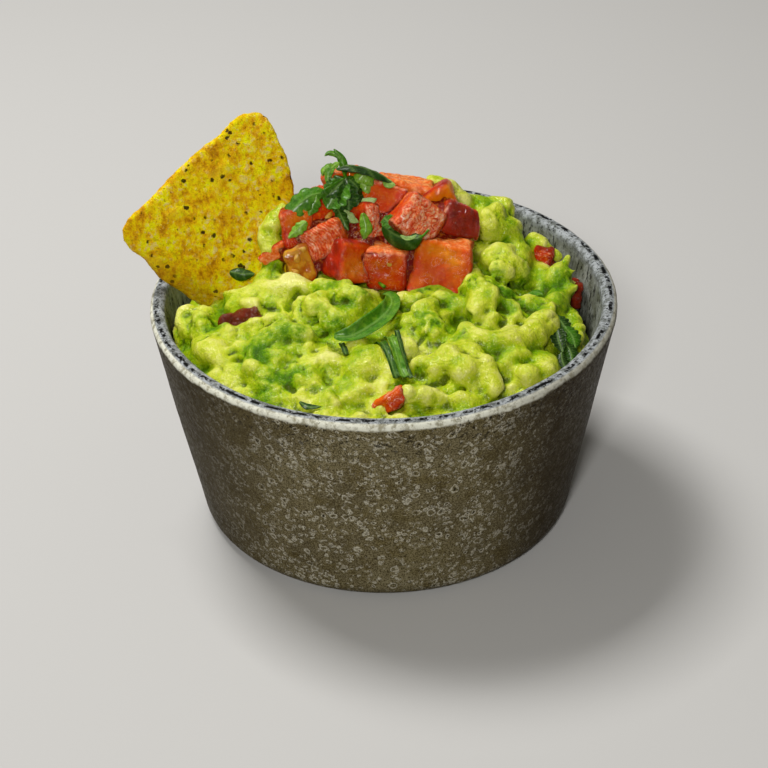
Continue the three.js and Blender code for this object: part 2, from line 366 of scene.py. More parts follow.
# ---------------------------------------------------------------- camera
ELEVATION, ROLL = math.radians(33.45), math.radians(-1.1)
DISTANCE, ASIDE, RAISED = 646.15, -0.286, 27.6
SENSOR, LENS = 36, 111.75


def make_camera():
    back = Vector((0, -math.cos(ELEVATION), math.sin(ELEVATION)))
    right = Vector((1, 0, 0))
    up = back.cross(right)
    side = right * math.cos(ROLL) + up * math.sin(ROLL)
    top = up * math.cos(ROLL) - right * math.sin(ROLL)
    data = bpy.data.cameras.new("camera")
    data.sensor_width, data.lens = SENSOR, LENS
    data.clip_start, data.clip_end = 0.01, 20
    camera = bpy.data.objects.new("camera", data)
    bpy.context.scene.collection.objects.link(camera)
    matrix = Matrix((side, top, back)).transposed().to_4x4()
    matrix.translation = (right * ASIDE + up * RAISED + back * DISTANCE) * MM
    camera.matrix_world = matrix
    bpy.context.scene.camera = camera


make_camera()

# ---------------------------------------------------------------- bowl
RIM_RADIUS, BOWL_HEIGHT, BASE_RADIUS = 60, 61, 49.4
WALL, FLOOR, FOOT_ROUNDING, RIM_ROUNDING, INNER_CORNER = 4, 5, 4.5, 1.7, 12
WALL_SLOPE = (RIM_RADIUS - BASE_RADIUS) / BOWL_HEIGHT
CLEARANCE = 0.35


def inner_radius(z):
    return BASE_RADIUS + WALL_SLOPE * z - WALL


def arc(cx, cz, radius, start, end, steps):
    angles = [math.radians(start + (end - start) * k / steps) for k in range(steps + 1)]
    return [(cx + radius * math.cos(a), cz + radius * math.sin(a)) for a in angles]


def between(a, b, step):
    count = max(1, round(math.dist(a, b) / step))
    return [(a[0] + (b[0] - a[0]) * k / count, a[1] + (b[1] - a[1]) * k / count) for k in range(1, count)]


def bowl_profile():
    groove = [(37.6, 0), (38.2, 0.5), (38.8, 0.85), (39.4, 0.5), (40, 0)]
    foot = arc(BASE_RADIUS - FOOT_ROUNDING, FOOT_ROUNDING, FOOT_ROUNDING, -90, -8, 10)
    rim_z = BOWL_HEIGHT - RIM_ROUNDING
    lip = arc(RIM_RADIUS - RIM_ROUNDING, rim_z, RIM_ROUNDING, -8, 90, 9)
    inside = arc(RIM_RADIUS - WALL + RIM_ROUNDING, rim_z, RIM_ROUNDING, 90, 180, 9)
    centre_z = FLOOR + INNER_CORNER
    corner = arc(inner_radius(centre_z) - INNER_CORNER, centre_z, INNER_CORNER, 0, -90, 12)
    stretches = [[(2, 0)], groove, foot, lip, inside, corner, [(2, FLOOR)]]
    profile = []
    for stretch in stretches:
        if profile:
            profile += between(profile[-1], stretch[0], 1.2)
        profile += stretch
    return profile


def lathe(name, profile, sectors, start, end):
    """Turns a profile about Z and closes it on the axis at heights start and end."""
    turn = np.arange(sectors) * (2 * math.pi / sectors)
    rings = [np.stack([r * np.cos(turn), r * np.sin(turn), np.full(sectors, float(z))], 1) for r, z in profile]
    points = np.concatenate([[[0, 0, start]], *rings, [[0, 0, end]]])
    faces = []
    for k in range(sectors):
        n = (k + 1) % sectors
        faces.append((0, 1 + n, 1 + k))
        last = 1 + (len(profile) - 1) * sectors
        faces.append((last + k, last + n, last + sectors))
        for j in range(len(profile) - 1):
            a, b = 1 + j * sectors, 1 + (j + 1) * sectors
            faces.append((a + k, a + n, b + n, b + k))
    return plain_mesh(name, points, faces)


def crater_layer(n, place, scale, width, pit):
    """Rings of uneven size round dark pits, as two masks."""
    reach = n.cells(scale, place)
    own = n.parts(n.cells(scale, place, "Color"))[0]
    radius = own * 0.26 + 0.12
    off = n.math("ABSOLUTE", reach - radius)
    ring = n.range(off, width, width * 0.3)
    return ring, n.range(reach, pit, pit * 0.4) * n.range(own, 0.35, 0.5)


def bowl_material():
    n = Nodes("stoneware_glaze")
    x, y, z = n.parts(n.place)
    radius = n.new("VectorMath", {0: n.vector(x, y, 0.0)}, "Value", operation="LENGTH")
    wall_middle = z * WALL_SLOPE + (BASE_RADIUS - WALL / 2)
    outside = n.range(radius - wall_middle, -0.6, 0.6)

    # Outside: olive-brown ground with cloudy tone, grey ring craters and dark pinholes, and painted shade that
    # darkens the right and left sides.
    cloud = n.noise(0.07, 4, 0.6)
    grain = n.noise(2.6, 3, 0.75)
    ground = n.ramp(cloud, [(0.35, "#564c2e"), (0.5, "#685d3a"), (0.65, "#786e4c")])
    ground = n.mix(n.range(grain, 0.42, 0.62), ground, "#39301d")
    ground = n.mix(n.range(grain, 0.44, 0.34, 0, 0.7), ground, "#857d62")
    wander = n.vector(n.noise(0.6, 3), n.noise(0.7, 3), n.noise(0.65, 3))
    warped = n.place + wander * 2.4
    large, large_pit = crater_layer(n, warped, 0.34, 0.1, 0.16)
    small, small_pit = crater_layer(n, warped + (40, 0, 0), 0.66, 0.14, 0.2)
    patches = n.range(n.noise(0.13, 3, 0.6), 0.4, 0.54)
    dense = n.range(n.noise(0.2, 3, 0.6, at=n.place + (0, 70, 0)), 0.42, 0.54)
    ring = n.math("MAXIMUM", large * patches, small * dense)
    ring = ring * n.range(grain, 0.66, 0.42, 0.25, 1)
    haze = n.math("MAXIMUM", patches, dense)
    ground = n.mix(haze * n.range(grain, 0.6, 0.45, 0, 0.16), ground, "#a09a84")
    body = n.mix(ring * 0.75, ground, "#c4bfac")
    blots = n.range(n.noise(0.7, 4, 0.7), 0.56, 0.64) * n.range(z, 44, 57)
    pit = n.math("MAXIMUM", n.math("MAXIMUM", large_pit * patches, small_pit * dense), blots)
    body = n.mix(pit * 0.9, body, "#15110b")
    # Painted shade: darker towards the right side (+x), where a little of it is the glaze's own browner colour,
    # and towards the left side (-x).
    body = n.mix(n.range(x + cloud * 26, 32, 56, 0, 0.78), body, "#20150b")
    body = n.mix(n.range(x, -18, -50, 0, 0.8), body, "#30260f")
    body = n.mix(n.range(z, 5, 0, 0, 0.55), body, "#2e281b")

    # Rim and inside.
    rim_tone = n.mix(n.range(n.noise(0.6, 4, 0.7), 0.38, 0.62), "#a4a8aa", "#6a6d69")
    rim_tone = n.mix(n.range(n.noise(1.1, 4, 0.75), 0.56, 0.63), rim_tone, "#171615")
    wall_tone = n.mix(n.range(n.noise(0.16, 4, 0.65), 0.35, 0.65), "#5e6050", "#90938a")
    streak = n.range(n.noise(0.9, 4, 0.7, at=n.place * (1, 1, 0.3)), 0.53, 0.62)
    wall_tone = n.mix(streak * 0.9, wall_tone, "#1d1c17")
    inner = n.mix(n.range(z, 57.6, 60.2), wall_tone, rim_tone)
    dash_place = radius + (n.noise(0.25, 3) - 0.5) * 1.2
    dash = n.range(dash_place, 57.5, 57.9) * n.range(dash_place, 58.9, 58.5)
    dash = dash * n.range(z, 59.6, 60.2) * n.range(n.noise(0.45, 4, 0.7), 0.45, 0.53)

    # Cream break where the glaze thins over the outer edge.
    uneven = (n.noise(0.16, 4, 0.65) - 0.5) * 2.0
    height = z + uneven + n.range(x, 15, 50, 0, -0.4)
    thin = n.range(height, 58.9, 59.7) * n.range(radius, 58.9, 59.4)
    skin = n.mix(outside, inner, body)
    skin = n.mix(n.range(z, 59.9, 60.4), skin, rim_tone)
    cream = n.mix(n.range(n.noise(0.5, 4, 0.7), 0.45, 0.65), "#dcdbca", "#9c9780")
    cream = n.mix(n.range(n.noise(1.1, 4, 0.7), 0.64, 0.7), cream, "#3b372a")
    # Painted shade: the cream is dulled towards the right side (+x).
    cream = n.mix(n.range(x, 15, 50, 0, 0.55), cream, "#7c786c")
    skin = n.mix(thin, skin, cream)
    skin = n.mix(dash, skin, "#101010")

    relief = ring * 0.5 + grain * 0.5 - pit
    normal = n.bump(relief, 0.6, 0.25, n.bump(n.noise(0.12, 3), 0.3, 0.6))
    rough = n.range(n.noise(0.9, 3), 0.3, 0.7, 0.34, 0.6)
    return n.look(base=skin, rough=rough, normal=normal, specular=0.03)


def make_bowl():
    mesh = lathe("bowl", bowl_profile(), 256, 0, FLOOR)
    points = arrays(mesh)[0]
    wobble = 0.16 * octaves(points, 26, 5, 2) + 0.05 * octaves(points, 5, 6, 2)
    standing = smoothstep(0.5, 5, points[:, 2])
    set_points(mesh, points + normals_of(mesh) * (wobble * standing)[:, None])
    piece("bowl_glazed", mesh, bowl_material(), "bowl", "bowl")


make_bowl()

# ---------------------------------------------------------------- guacamole
# How far out the mash reaches and the height at which its fine surface ends.
MASH_REACH, SEAT_CUT = 53, 46
# Strokes and lumps of mash: tone (-1 dark green, 1 pale), then x, y, z and radius along the stroke.
MASH = [
    (0.5, (-41, 1, 61.5, 1.1), (-36.7, -1, 62.9, 1.8), (-31, -1.5, 64.3, 2.7), (-25, -3.7, 66, 3),
     (-20.6, -5, 66.6, 2.2)),
    (0.5, (-37.5, -3.5, 62.2, 1), (-34, -3.5, 63, 1.8)),
    (0.1, (-31, 1.5, 64.2, 2.8), (-29, 1.4, 66, 2.8), (-28.4, 2.4, 67.4, 1.6)),
    (0.2, (-25, -0.5, 66.2, 2.8), (-21.5, -2.2, 66.6, 2.4)), (0.6, (-50.4, -5.5, 58.6, 3)),
    (0.4, (-47.5, -8.5, 60.4, 2.4), (-46.4, -13, 60.2, 2.8)),
    (0.3, (-48.8, -12, 57.4, 2.2), (-46, -16.5, 58.6, 2)),
    (0.3, (-39.7, -5.1, 60.9, 1.5), (-36, -7, 62.2, 2.1), (-32.8, -8.7, 63.7, 2)),
    (-0.5, (-15.5, -5.5, 66.7, 2.6), (-9.6, -10, 68.4, 3.1), (-5.4, -12.8, 67.9, 3),
     (-3.2, -10.5, 65.8, 2.4)),
    (0.4, (-20.5, -12, 66, 2.6), (-17.5, -14.2, 66.5, 3)),
    (0.2, (-14.5, -16.2, 66, 2.6), (-16, -11.5, 67, 2.6)),
    (0.4, (-30, -21.5, 63.6, 1.5), (-28.8, -25, 63.4, 1.7), (-27.4, -30, 62.8, 1.6), (-26.4, -33.5, 62, 1.2)),
    (-0.1, (-24.5, -23.2, 64.8, 2.2), (-22, -24.6, 65, 2.4), (-19.2, -24.8, 64.3, 1.8)),
    (0.2, (-33.5, -17.5, 63, 1.5), (-29, -17, 64.4, 1.9), (-24.5, -17.5, 65.2, 1.6)),
    (0.6, (-14, -31.5, 61.6, 3), (-11.5, -33, 61, 3.4)),
    (0.6, (-43.5, -23.8, 58.8, 3.3), (-40, -26.2, 59.6, 2.8)),
    (0.3, (-36, -24, 61, 2.4), (-33, -28, 60.8, 2.4)), (0.6, (4.6, -9.5, 65, 2.2), (8.5, -9.6, 65.4, 2.5)),
    (0.3, (13.4, -8.6, 65.2, 2.1), (16.6, -9.6, 64.9, 2.3), (19.6, -11.2, 63.8, 1.7)),
    (-0.9, (7.5, -20.5, 65.4, 1.5), (11.4, -22.2, 65.8, 2), (15, -22, 65.2, 1.4)),
    (0.1, (22.5, -3.5, 66.6, 3.2), (23, -8, 66.8, 3.6), (24, -12.5, 66, 3.8), (22, -16, 64.8, 3)),
    (0.2, (22.6, 2.6, 67.2, 1.9), (22.4, 0, 67, 2.4)), (0.2, (26.5, -6, 66, 2.6), (29.4, -6.5, 65.4, 2)),
    (0.7, (29.6, 20, 69.6, 5.2)), (0.4, (30.2, 23.4, 72.6, 2.6)), (0.2, (31.6, 24, 66.6, 4.4)),
    (0.4, (33, 27.4, 70, 3.4), (29.4, 28.4, 70, 3)),
    (0, (34.4, 22, 66, 3.8), (36, 16.6, 62.4, 3.6), (35, 11.5, 61, 3.2)),
    (0.5, (27.6, 6.6, 68, 3), (31, 5, 67.2, 4.2), (34.4, 3, 64.2, 3.6)), (0.5, (33.6, 8.6, 68.8, 1.4)),
    (0.4, (30, 1.6, 67.4, 2.6), (32, 0.2, 65.6, 2.2)),
    (0.2, (26.6, -9.4, 67.2, 3), (29, -12, 66, 3), (28.6, -16, 64.6, 2.8)),
    (0.1, (37.8, 20, 60.8, 3), (38.8, 14, 58, 3)),
    (0.3, (40.6, 24.6, 62, 2.8), (44, 23, 60.6, 2.6), (46.6, 21.4, 58.8, 2)),
    (0.2, (45, 9, 58.8, 4.2), (46.4, 11.5, 60.2, 2.8)),
    (0.2, (46.4, 12.4, 60.6, 1.9), (48, 14.4, 61.6, 1.1), (49.2, 15.8, 62.2, 0.4)),
    (0.3, (47.4, 9.6, 60.2, 1.7), (49.4, 10.6, 60.4, 0.9), (50.4, 11, 60.4, 0.4)),
    (0.3, (48, 5.4, 58.6, 1.8), (50, 5.8, 58.8, 0.9), (50.8, 6, 58.8, 0.4)),
    (0.1, (46, 3, 57, 3.4), (44, -3, 58.6, 3)),
    (0.4, (20, -22.5, 64.6, 2), (24, -27, 64.8, 2.6), (28.5, -28, 63.8, 3), (33.5, -26.5, 62.8, 3.4),
     (38, -21.5, 61.6, 4), (41.4, -15.5, 61.2, 3.6)),
    (0.6, (42.4, -11.4, 62.4, 2), (42.8, -9.6, 63, 1.1)),
    (0.4, (22, -33.5, 64, 3.4), (25, -38.5, 62.4, 4), (26.6, -43.5, 60, 3.2)),
    (0.3, (15, -35, 64.8, 3.6), (19.5, -39.8, 63, 4.2)),
    (0.3, (30.6, -33.4, 62.2, 2.2), (34.4, -31, 62.2, 1.8)), (0.6, (35, -37.5, 60.2, 3.2)),
    (0.4, (48.6, -16, 56.4, 2.6), (49.6, -11, 56, 2.2)),
    (0.6, (-28, 6.4, 68.4, 3.2), (-28.4, 9, 73, 3.3), (-27.4, 11.4, 77, 3), (-25.6, 13.6, 79.6, 2)),
    (0.6, (13, 27, 78.4, 2.6), (17.6, 27, 76.2, 3), (21.6, 25.4, 73, 3.2)),
    (0.2, (13, 31, 73.6, 4.2), (18, 31, 71.6, 4.6), (23.5, 28.5, 70, 4.2), (28.5, 25.5, 68.4, 4)),
    (0.3, (8.5, -36.5, 63.4, 2.8), (12.6, -38.4, 62.6, 3), (14, -34, 63.6, 2.4)),
    (0.8, (2.8, -29.2, 64.2, 3), (6.6, -30.6, 64.2, 2.4)),
    (0.4, (-2, -35.8, 63.2, 2.4), (1.5, -38.4, 62, 2.6)),
    (0.2, (-8.8, -44.4, 59.6, 2.2), (-4.8, -43, 60.6, 2.2)),
    (0.4, (8.2, -45.6, 60, 2.3), (13, -46.4, 59.8, 2.2)),
    (0.3, (17.8, -46.6, 59.2, 2.5), (22.5, -46.2, 58.4, 1.8)),
    (0.1, (-20.7, -39.2, 60.6, 2.3), (-16.5, -41, 60.2, 2)),
    (0.4, (-33, -33.2, 59.6, 2.3), (-28.5, -36.5, 59.8, 2.2)),
    (0.2, (-38.6, -18.8, 60.2, 2.3), (-39.6, -14, 61, 1.8)),
    (0.4, (47.6, -13, 54.6, 2.9), (48.8, -7.4, 54.8, 2.9), (48.8, -1.5, 54.6, 2.6)),
    (0.3, (4.8, -46.2, 61.4, 1.9), (6.6, -45.4, 61, 2)),
    (0.2, (-2.8, -46.8, 57.6, 2), (-1, -48.4, 57.8, 1.6)),
    (0, (35.2, -9, 62.4, 2), (38, -5, 61, 1.8), (37.2, 0.5, 60, 1.6)),
]
# Hollows: x, y, z, radius, depth.
HOLLOWS = [
    (-28, 1, 69, 4, 1.6), (-12, -20.6, 65, 3.6, 0.8), (-17.2, -17.7, 64.7, 3.6, -1.6),
    (-19.8, -27.4, 62.8, 3, -0.8), (-29, -9.6, 63.6, 4, 1.6), (-22.5, -9, 65, 3.6, 1.6),
    (19.5, -17.2, 64.2, 3, 1.8), (29, -15.5, 64.6, 4.4, 1.8), (36, -12, 62, 3.4, 1.2),
    (-0.5, -15.2, 65.4, 2.6, 1), (-44.4, -19.2, 59.4, 2.4, 1.4), (30.5, -12.6, 65.4, 4.6, 3),
    (35.2, -3.4, 61.4, 3.6, 2.6), (26.5, 12.5, 66, 3, 2.4), (44.5, -22.5, 57.4, 4, 3),
]
# Places torn more roughly than the rest: x, y, z, radius.
RUGGED = [
    (30.6, 4.6, 68, 7), (24, -9, 67, 7), (46, 9, 59, 6), (29, 20, 71, 4), (-32, -14, 63, 7),
    (-47, -12, 59, 6), (-10, -12, 67, 6),
]
# Patches of colour: x, y, z, radius, tone. The last three are broad: the ones at the right and left sides
# darken them as painted shade, and the one at the front lightens the mash there.
PATCHES = [
    (-22.5, -39.5, 61, 4.5, -0.9), (-31, -29.5, 61, 4, -0.7), (-17.5, -36.2, 61, 3, -0.9),
    (-7, -9, 68, 5, -0.7), (11.4, -22.2, 66, 4, -0.9), (17, -14, 64.6, 3.6, -0.7), (-11, -22, 65, 3.4, -0.6),
    (25, -13, 65, 4, -0.4), (31.4, -6, 65.6, 3.6, -0.9), (6, -42, 62, 3.2, -0.7), (-29, 3, 66, 4, -0.5),
    (22, -6, 65, 3.4, -0.3), (-24.5, -23.5, 65, 3, -0.2), (30, -30, 62, 3, -0.3), (44, -14, 58, 4, -0.2),
    (-12.5, -32.3, 62, 4, 0.6), (3, -29, 64.5, 3.6, 0.6), (30, 7, 67.5, 4.4, 0.5), (40, 0.5, 60, 3.2, -0.9),
    (30.5, -12.6, 65, 4.4, -0.7), (35.4, 18, 63, 4, -0.5), (-24, -3.5, 67, 5, 0.4), (-18, -14, 67, 4, 0.5),
    # Broad patches: the right and left sides darkened as painted shade, the front lightened.
    (-42, -25, 60, 4.4, 0.5), (46, 2, 60, 14, -0.5), (-44, -8, 60, 10, -0.3), (0, -44, 60, 14, 0.25),
]


def stroke_points(stroke, spacing=0.45):
    """Centres and radii along a stroke, close enough together to read as one body."""
    if len(stroke) == 1:
        return [(Vector(stroke[0][:3]), stroke[0][3])]
    made = []
    for a, b in zip(stroke, stroke[1:]):
        pa, pb = Vector(a[:3]), Vector(b[:3])
        count = max(1, math.ceil((pb - pa).length / (spacing * min(a[3], b[3]) + 0.3)))
        made += [(pa.lerp(pb, k / count), a[3] + (b[3] - a[3]) * k / count) for k in range(count)]
    return made + [(Vector(stroke[-1][:3]), stroke[-1][3])]


def flow(x, y):
    """The way the spoon has dragged the mash here, as an angle."""
    swirl = octaves(np.array([[x, y, 0.0]]), 24, 61, 2)[0]
    return math.atan2(y + 6, x) + math.pi / 2 + 1.5 * swirl


def mash_soup():
    rest = tree_of("guacamole")
    whole = tree_of(*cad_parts)
    points, faces = cad_data("guacamole")
    sunk = smoothstep(46, 52, points[:, 2]) * 1.5
    soup, chance = Soup(), random.Random(41)
    soup.add(points - sunk[:, None] * (0, 0, 1), faces)
    ball, shape = sphere_shape(2)

    def lump(at, radii, turn):
        rotation = np.array(Euler(turn, "ZYX").to_matrix())
        soup.add((ball * np.array(radii)) @ rotation.T + np.array(at), shape)

    for _, *stroke in MASH:
        for at, radius in stroke_points(stroke):
            _, normal, _, _ = rest.find_nearest(at)
            size = [radius * chance.uniform(0.9, 1.12) for _ in range(3)]
            lump(at - normal * (0.3 * radius), size, [chance.uniform(0, 3) for _ in range(3)])
    # How many, least and greatest radius, longest stretch, share of the radius that is sunk.
    for count, least, greatest, longest, sunken in (
        (70, 3.8, 6.4, 1.7, 0.84), (170, 1.8, 3.2, 2.4, 0.8), (120, 0.7, 1.3, 2.0, 0.66),
    ):
        for _ in range(count):
            out = MASH_REACH * math.sqrt(chance.random())
            turn = chance.uniform(0, 2 * math.pi)
            x, y = out * math.cos(turn), out * math.sin(turn)
            grow, along = chance.random(), chance.uniform(1.0, longest)
            lean, spin = chance.uniform(-0.35, 0.35), chance.gauss(0, 0.45)
            hit, normal = below(rest, x, y)
            if hit is None or below(whole, x, y)[0].z > hit.z + 0.4:
                continue
            radius = least + (greatest - least) * grow * grow
            lump(hit - normal * (sunken * radius), (radius * along, radius, radius * 0.8),
                 (lean, lean * 0.7, flow(x, y) + spin))
    return soup.all()


def cut_to_seat(mesh, cut):
    """Keeps the fine surface above the cut and carries its edge down the bowl's wall to the floor."""
    bm = bmesh.new()
    bm.from_mesh(mesh)
    bmesh.ops.bisect_plane(bm, geom=bm.verts[:] + bm.edges[:] + bm.faces[:], dist=1e-5,
                           plane_co=(0, 0, cut), plane_no=(0, 0, 1), clear_inner=True)
    loop = [e for e in bm.edges if e.is_boundary]
    centre_z = FLOOR + INNER_CORNER
    corner = arc(inner_radius(centre_z) - INNER_CORNER, centre_z, INNER_CORNER - CLEARANCE, 0, -90, 5)
    levels = [(inner_radius(z) - CLEARANCE, z) for z in (44, 36, 26)] + corner + [(16, FLOOR + CLEARANCE)]
    for radius, z in levels:
        made = bmesh.ops.extrude_edge_only(bm, edges=loop)["geom"]
        for vert in (g for g in made if isinstance(g, bmesh.types.BMVert)):
            flat = Vector((vert.co.x, vert.co.y, 0)).normalized() * radius
            vert.co = Vector((flat.x, flat.y, z))
        loop = [g for g in made if isinstance(g, bmesh.types.BMEdge) and g.is_boundary]
    centre = bm.verts.new((0, 0, FLOOR + CLEARANCE))
    for edge in loop:
        bm.faces.new((edge.verts[0], edge.verts[1], centre))
    bmesh.ops.recalc_face_normals(bm, faces=bm.faces[:])
    bm.to_mesh(mesh)
    bm.free()
    mesh.update()


def guacamole_material():
    n = Nodes("mashed_avocado")
    tone, hollow, crease = n.value("tone"), n.value("hollow"), n.value("crease")
    fine = n.noise(0.8, 4, 0.65)
    grain = n.noise(1.6, 3, 0.7)
    streaks = n.noise(0.22, 3, 0.55, 0.5)
    # Painted shade and highlight: points deep in hollows shift towards darker greens, points on crests towards
    # paler ones.
    mixed = tone + (fine - 0.5) * 1.1 + (grain - 0.5) * 0.4 + (streaks - 0.5) * 2.0 - hollow * 0.55
    share = n.range(mixed, -1.8, 1.7)
    base = n.ramp(share, [(0, "#2e5400"), (0.2, "#548200"), (0.4, "#86a800"), (0.58, "#a9bd08"),
                          (0.78, "#c8d032"), (1, "#e2e080")])
    # Painted shade: dark olive in hollows and in creases.
    base = n.mix(n.range(hollow, 0.1, 1.5, 0, 0.7), base, "#5a7400")
    base = n.mix(n.range(crease, 0.15, 1.0, 0, 0.7), base, "#424c00")
    # Painted highlight: paler yellow on convex crests, where hollow is negative.
    base = n.mix(n.range(hollow, -0.2, -1.2, 0, 0.35) * n.range(share, 0.25, 0.5), base, "#e2e46e")
    # Painted highlights: small pale-yellow specks on the paler mash, standing in for wet glints.
    fleck = n.range(n.noise(1.25, 4, 0.8), 0.585, 0.66) * n.range(share, 0.1, 0.6, 0.35, 1)
    base = n.mix(fleck * 0.45, base, "#f0f08c")
    normal = n.bump(fine + grain * 0.55, 1.0, 0.5)
    wet = n.bump(n.noise(0.95, 2, 0.5), 1.0, 0.85)
    rough = n.range(n.noise(1.2, 2), 0.35, 0.65, 0.3, 0.55)
    coat = n.range(share, 0.15, 0.6, 0.08, 0.55)
    return n.look(base=base, rough=rough, normal=normal, specular=0.06, coat=coat, coat_rough=0.18,
                  coat_normal=wet, sss=0.35, sss_radius=(1.0, 1.0, 0.2), sss_scale=0.9 * MM)


def make_guacamole():
    mesh, points, edges = voxel_mesh("guacamole_mash", *mash_soup(), MASH_VOXEL, 8)
    normals = normals_of(mesh)
    calm = smoothstep(-0.4, 0.5, octaves(points, 15, 71, 1))
    warp = drift(points, 6, 81, 2) * 1.5
    rugged = sum(nearness(points, at, reach) for *at, reach in RUGGED)
    rough = 0.8 * (np.abs(octaves(points + warp, 9.0, 10, 1)) - 0.25)
    rough += chunks(points + 0.8 * warp, 6.0, 11)
    rough += 0.2 * (1 + rugged) * chunks(points + 0.8 * warp, 3.0, 12)
    rough += 0.16 * octaves(points + warp, 3.0, 14, 1)
    rough += 0.1 * (1 + rugged) * octaves(points, 1.3, 13, 2, 0.7)
    points = points + normals * (rough * (0.35 + 0.75 * calm))[:, None]
    for *at, radius, depth in HOLLOWS:
        near = np.clip(1 - ((points + 0.7 * warp - at) ** 2).sum(1) / radius ** 2, 0, 1)
        points -= normals * (depth * near ** 2)[:, None]
    out = np.hypot(points[:, 0], points[:, 1])
    limit = inner_radius(np.minimum(points[:, 2], BOWL_HEIGHT)) - 0.3
    points[:, :2] *= np.minimum(1, limit / np.maximum(out, 1e-6))[:, None]
    set_points(mesh, points)
    normals = normals_of(mesh)

    # How far each point lies in a fold, finely (crease) and broadly (hollow); the material paints shade in the
    # folds with both, and a highlight on crests with hollow.
    def hollowness(rounds, scale):
        return ((averaged(points, edges, rounds) - points) * normals).sum(1) / scale
    crease = hollowness(3, 0.12)
    hollow = 0.3 * crease + 0.9 * hollowness(25, 0.7)
    tone = 0.6 * octaves(points, 12, 21, 2) + 0.35 * octaves(points + warp, 5, 22, 2) + 0.1
    for shade, *stroke in MASH:
        for at, radius in stroke_points(stroke, 1.2):
            tone += 0.24 * shade * nearness(points, at, 1.3 * radius)
    for *at, radius, shade in PATCHES:
        tone += shade * nearness(points + warp, at, radius)
    attributes(mesh, tone=tone, hollow=hollow, crease=crease)
    cut_to_seat(mesh, SEAT_CUT)
    return piece("guacamole_mash", mesh, guacamole_material(), "guacamole", "guacamole")


mash = make_guacamole()

# ---------------------------------------------------------------- tortilla chip
def chip_material():
    n = Nodes("corn_tortilla")
    cloud = n.noise(0.13, 4, 0.65)
    mottle = n.noise(0.42, 4, 0.7, 0.0, n.place * (1, 1, 0.6))
    meal = n.noise(0.8, 3, 0.6)
    share = cloud * 0.35 + mottle * 0.65
    base = n.ramp(share, [(0.37, "#c07e00"), (0.445, "#efb400"), (0.52, "#ffdc00"), (0.6, "#fff400")])
    base = n.mix(n.range(meal, 0.53, 0.64) * n.range(cloud, 0.42, 0.58, 0, 0.8), base, "#f8de86")
    base = n.mix(n.range(meal, 0.45, 0.36, 0, 0.45), base, "#b87c00")
    base = n.mix(n.range(n.value("raised"), 0.1, 0.6, 0, 0.4), base, "#ffe01e")
    warped = n.place + n.vector(n.noise(0.8, 3), n.noise(0.9, 3), 0.0) * 1.6
    speck = n.cells(0.34, warped)
    dark = n.range(speck, 0.24, 0.15) * n.range(n.noise(0.21, 2, 0.5), 0.38, 0.46)
    fleck = n.range(n.noise(1.0, 4, 0.75), 0.6, 0.68) * n.range(n.noise(0.16, 2), 0.38, 0.55)
    base = n.mix(fleck * 0.75, base, "#7a4a00")
    base = n.mix(dark * 0.93, base, "#231403")
    base = n.mix(n.value("lip") * 0.4, base, "#a67c00")
    relief = n.noise(0.8, 5, 0.75) + dark * -0.5
    normal = n.bump(relief, 1.0, 1.1, n.bump(n.noise(0.3, 3, 0.6), 0.8, 1.4))
    return n.look(base=base, rough=n.range(mottle, 0.3, 0.7, 0.5, 0.8), normal=normal, sss=0.15,
                  sss_radius=(1.0, 0.6, 0.1), sss_scale=0.8 * MM, specular=0.12)


# Where the broken edge swells or is bitten: middle, reach, and the move to the right and up the chip.
CHIP_EDGE = [
    ((-27, 20, 90), 9, 2, 0.5), ((-49, 16, 91), 11, -0.4, 0.5), ((-64.4, 6.2, 76), 8, -0.1, 1.6),
    ((-30, 23, 98.5), 4, 1.1, 0.1), ((-36, 23, 99.5), 4, -0.8, 0.2), ((-60.6, 5.6, 69), 3.4, 0.3, 0.4),
    ((-57, 4, 64.6), 3.2, -0.6, -0.7),
]
CHIP_RIGHT, CHIP_UP = np.array((1.0, 0.0, 0.0)), np.array((0.0, 0.37, 0.93))


def make_chip():
    mesh, points, _ = voxel_mesh("tortilla_chip_fried", *cad_data("tortilla_chip"), CHIP_VOXEL, 4)
    normals = normals_of(mesh)
    blister = smoothstep(0.35, 0.75, octaves(points, 6.5, 51, 1)) * 0.55
    wave = 0.3 * octaves(points, 15, 52, 2) + 0.16 * octaves(points, 3.2, 53, 3)
    away = np.array((0.0, 0.93, -0.37))
    broad = np.abs(normals @ away) > 0.4
    sheet = 0.55 * octaves(points * (1, 0.4, 1), 22, 54, 1)
    points = points + normals * (wave * 0.6 + blister * broad * 0.6)[:, None] + away * sheet[:, None]
    for middle, reach, right, up in CHIP_EDGE:
        near = nearness(points, middle, reach)
        points = points + near[:, None] * (CHIP_RIGHT * right + CHIP_UP * up)
    right, up = [0.22 * octaves(points, 4, 57 + k, 3, 0.7) for k in range(2)]
    points = points + right[:, None] * CHIP_RIGHT + up[:, None] * CHIP_UP
    set_points(mesh, points)
    lip = smoothstep(66, 58, points[:, 2] + 0.55 * (points[:, 0] + 46))
    attributes(mesh, raised=blister, lip=lip)
    piece("tortilla_chip_fried", mesh, chip_material(), "chip", "tortilla_chip")


make_chip()

# ---------------------------------------------------------------- tomato
# How far the pile is swollen to join its dice, and by how much it is shrunk again.
SWOLLEN, SHRUNK = 1.9, 2.9
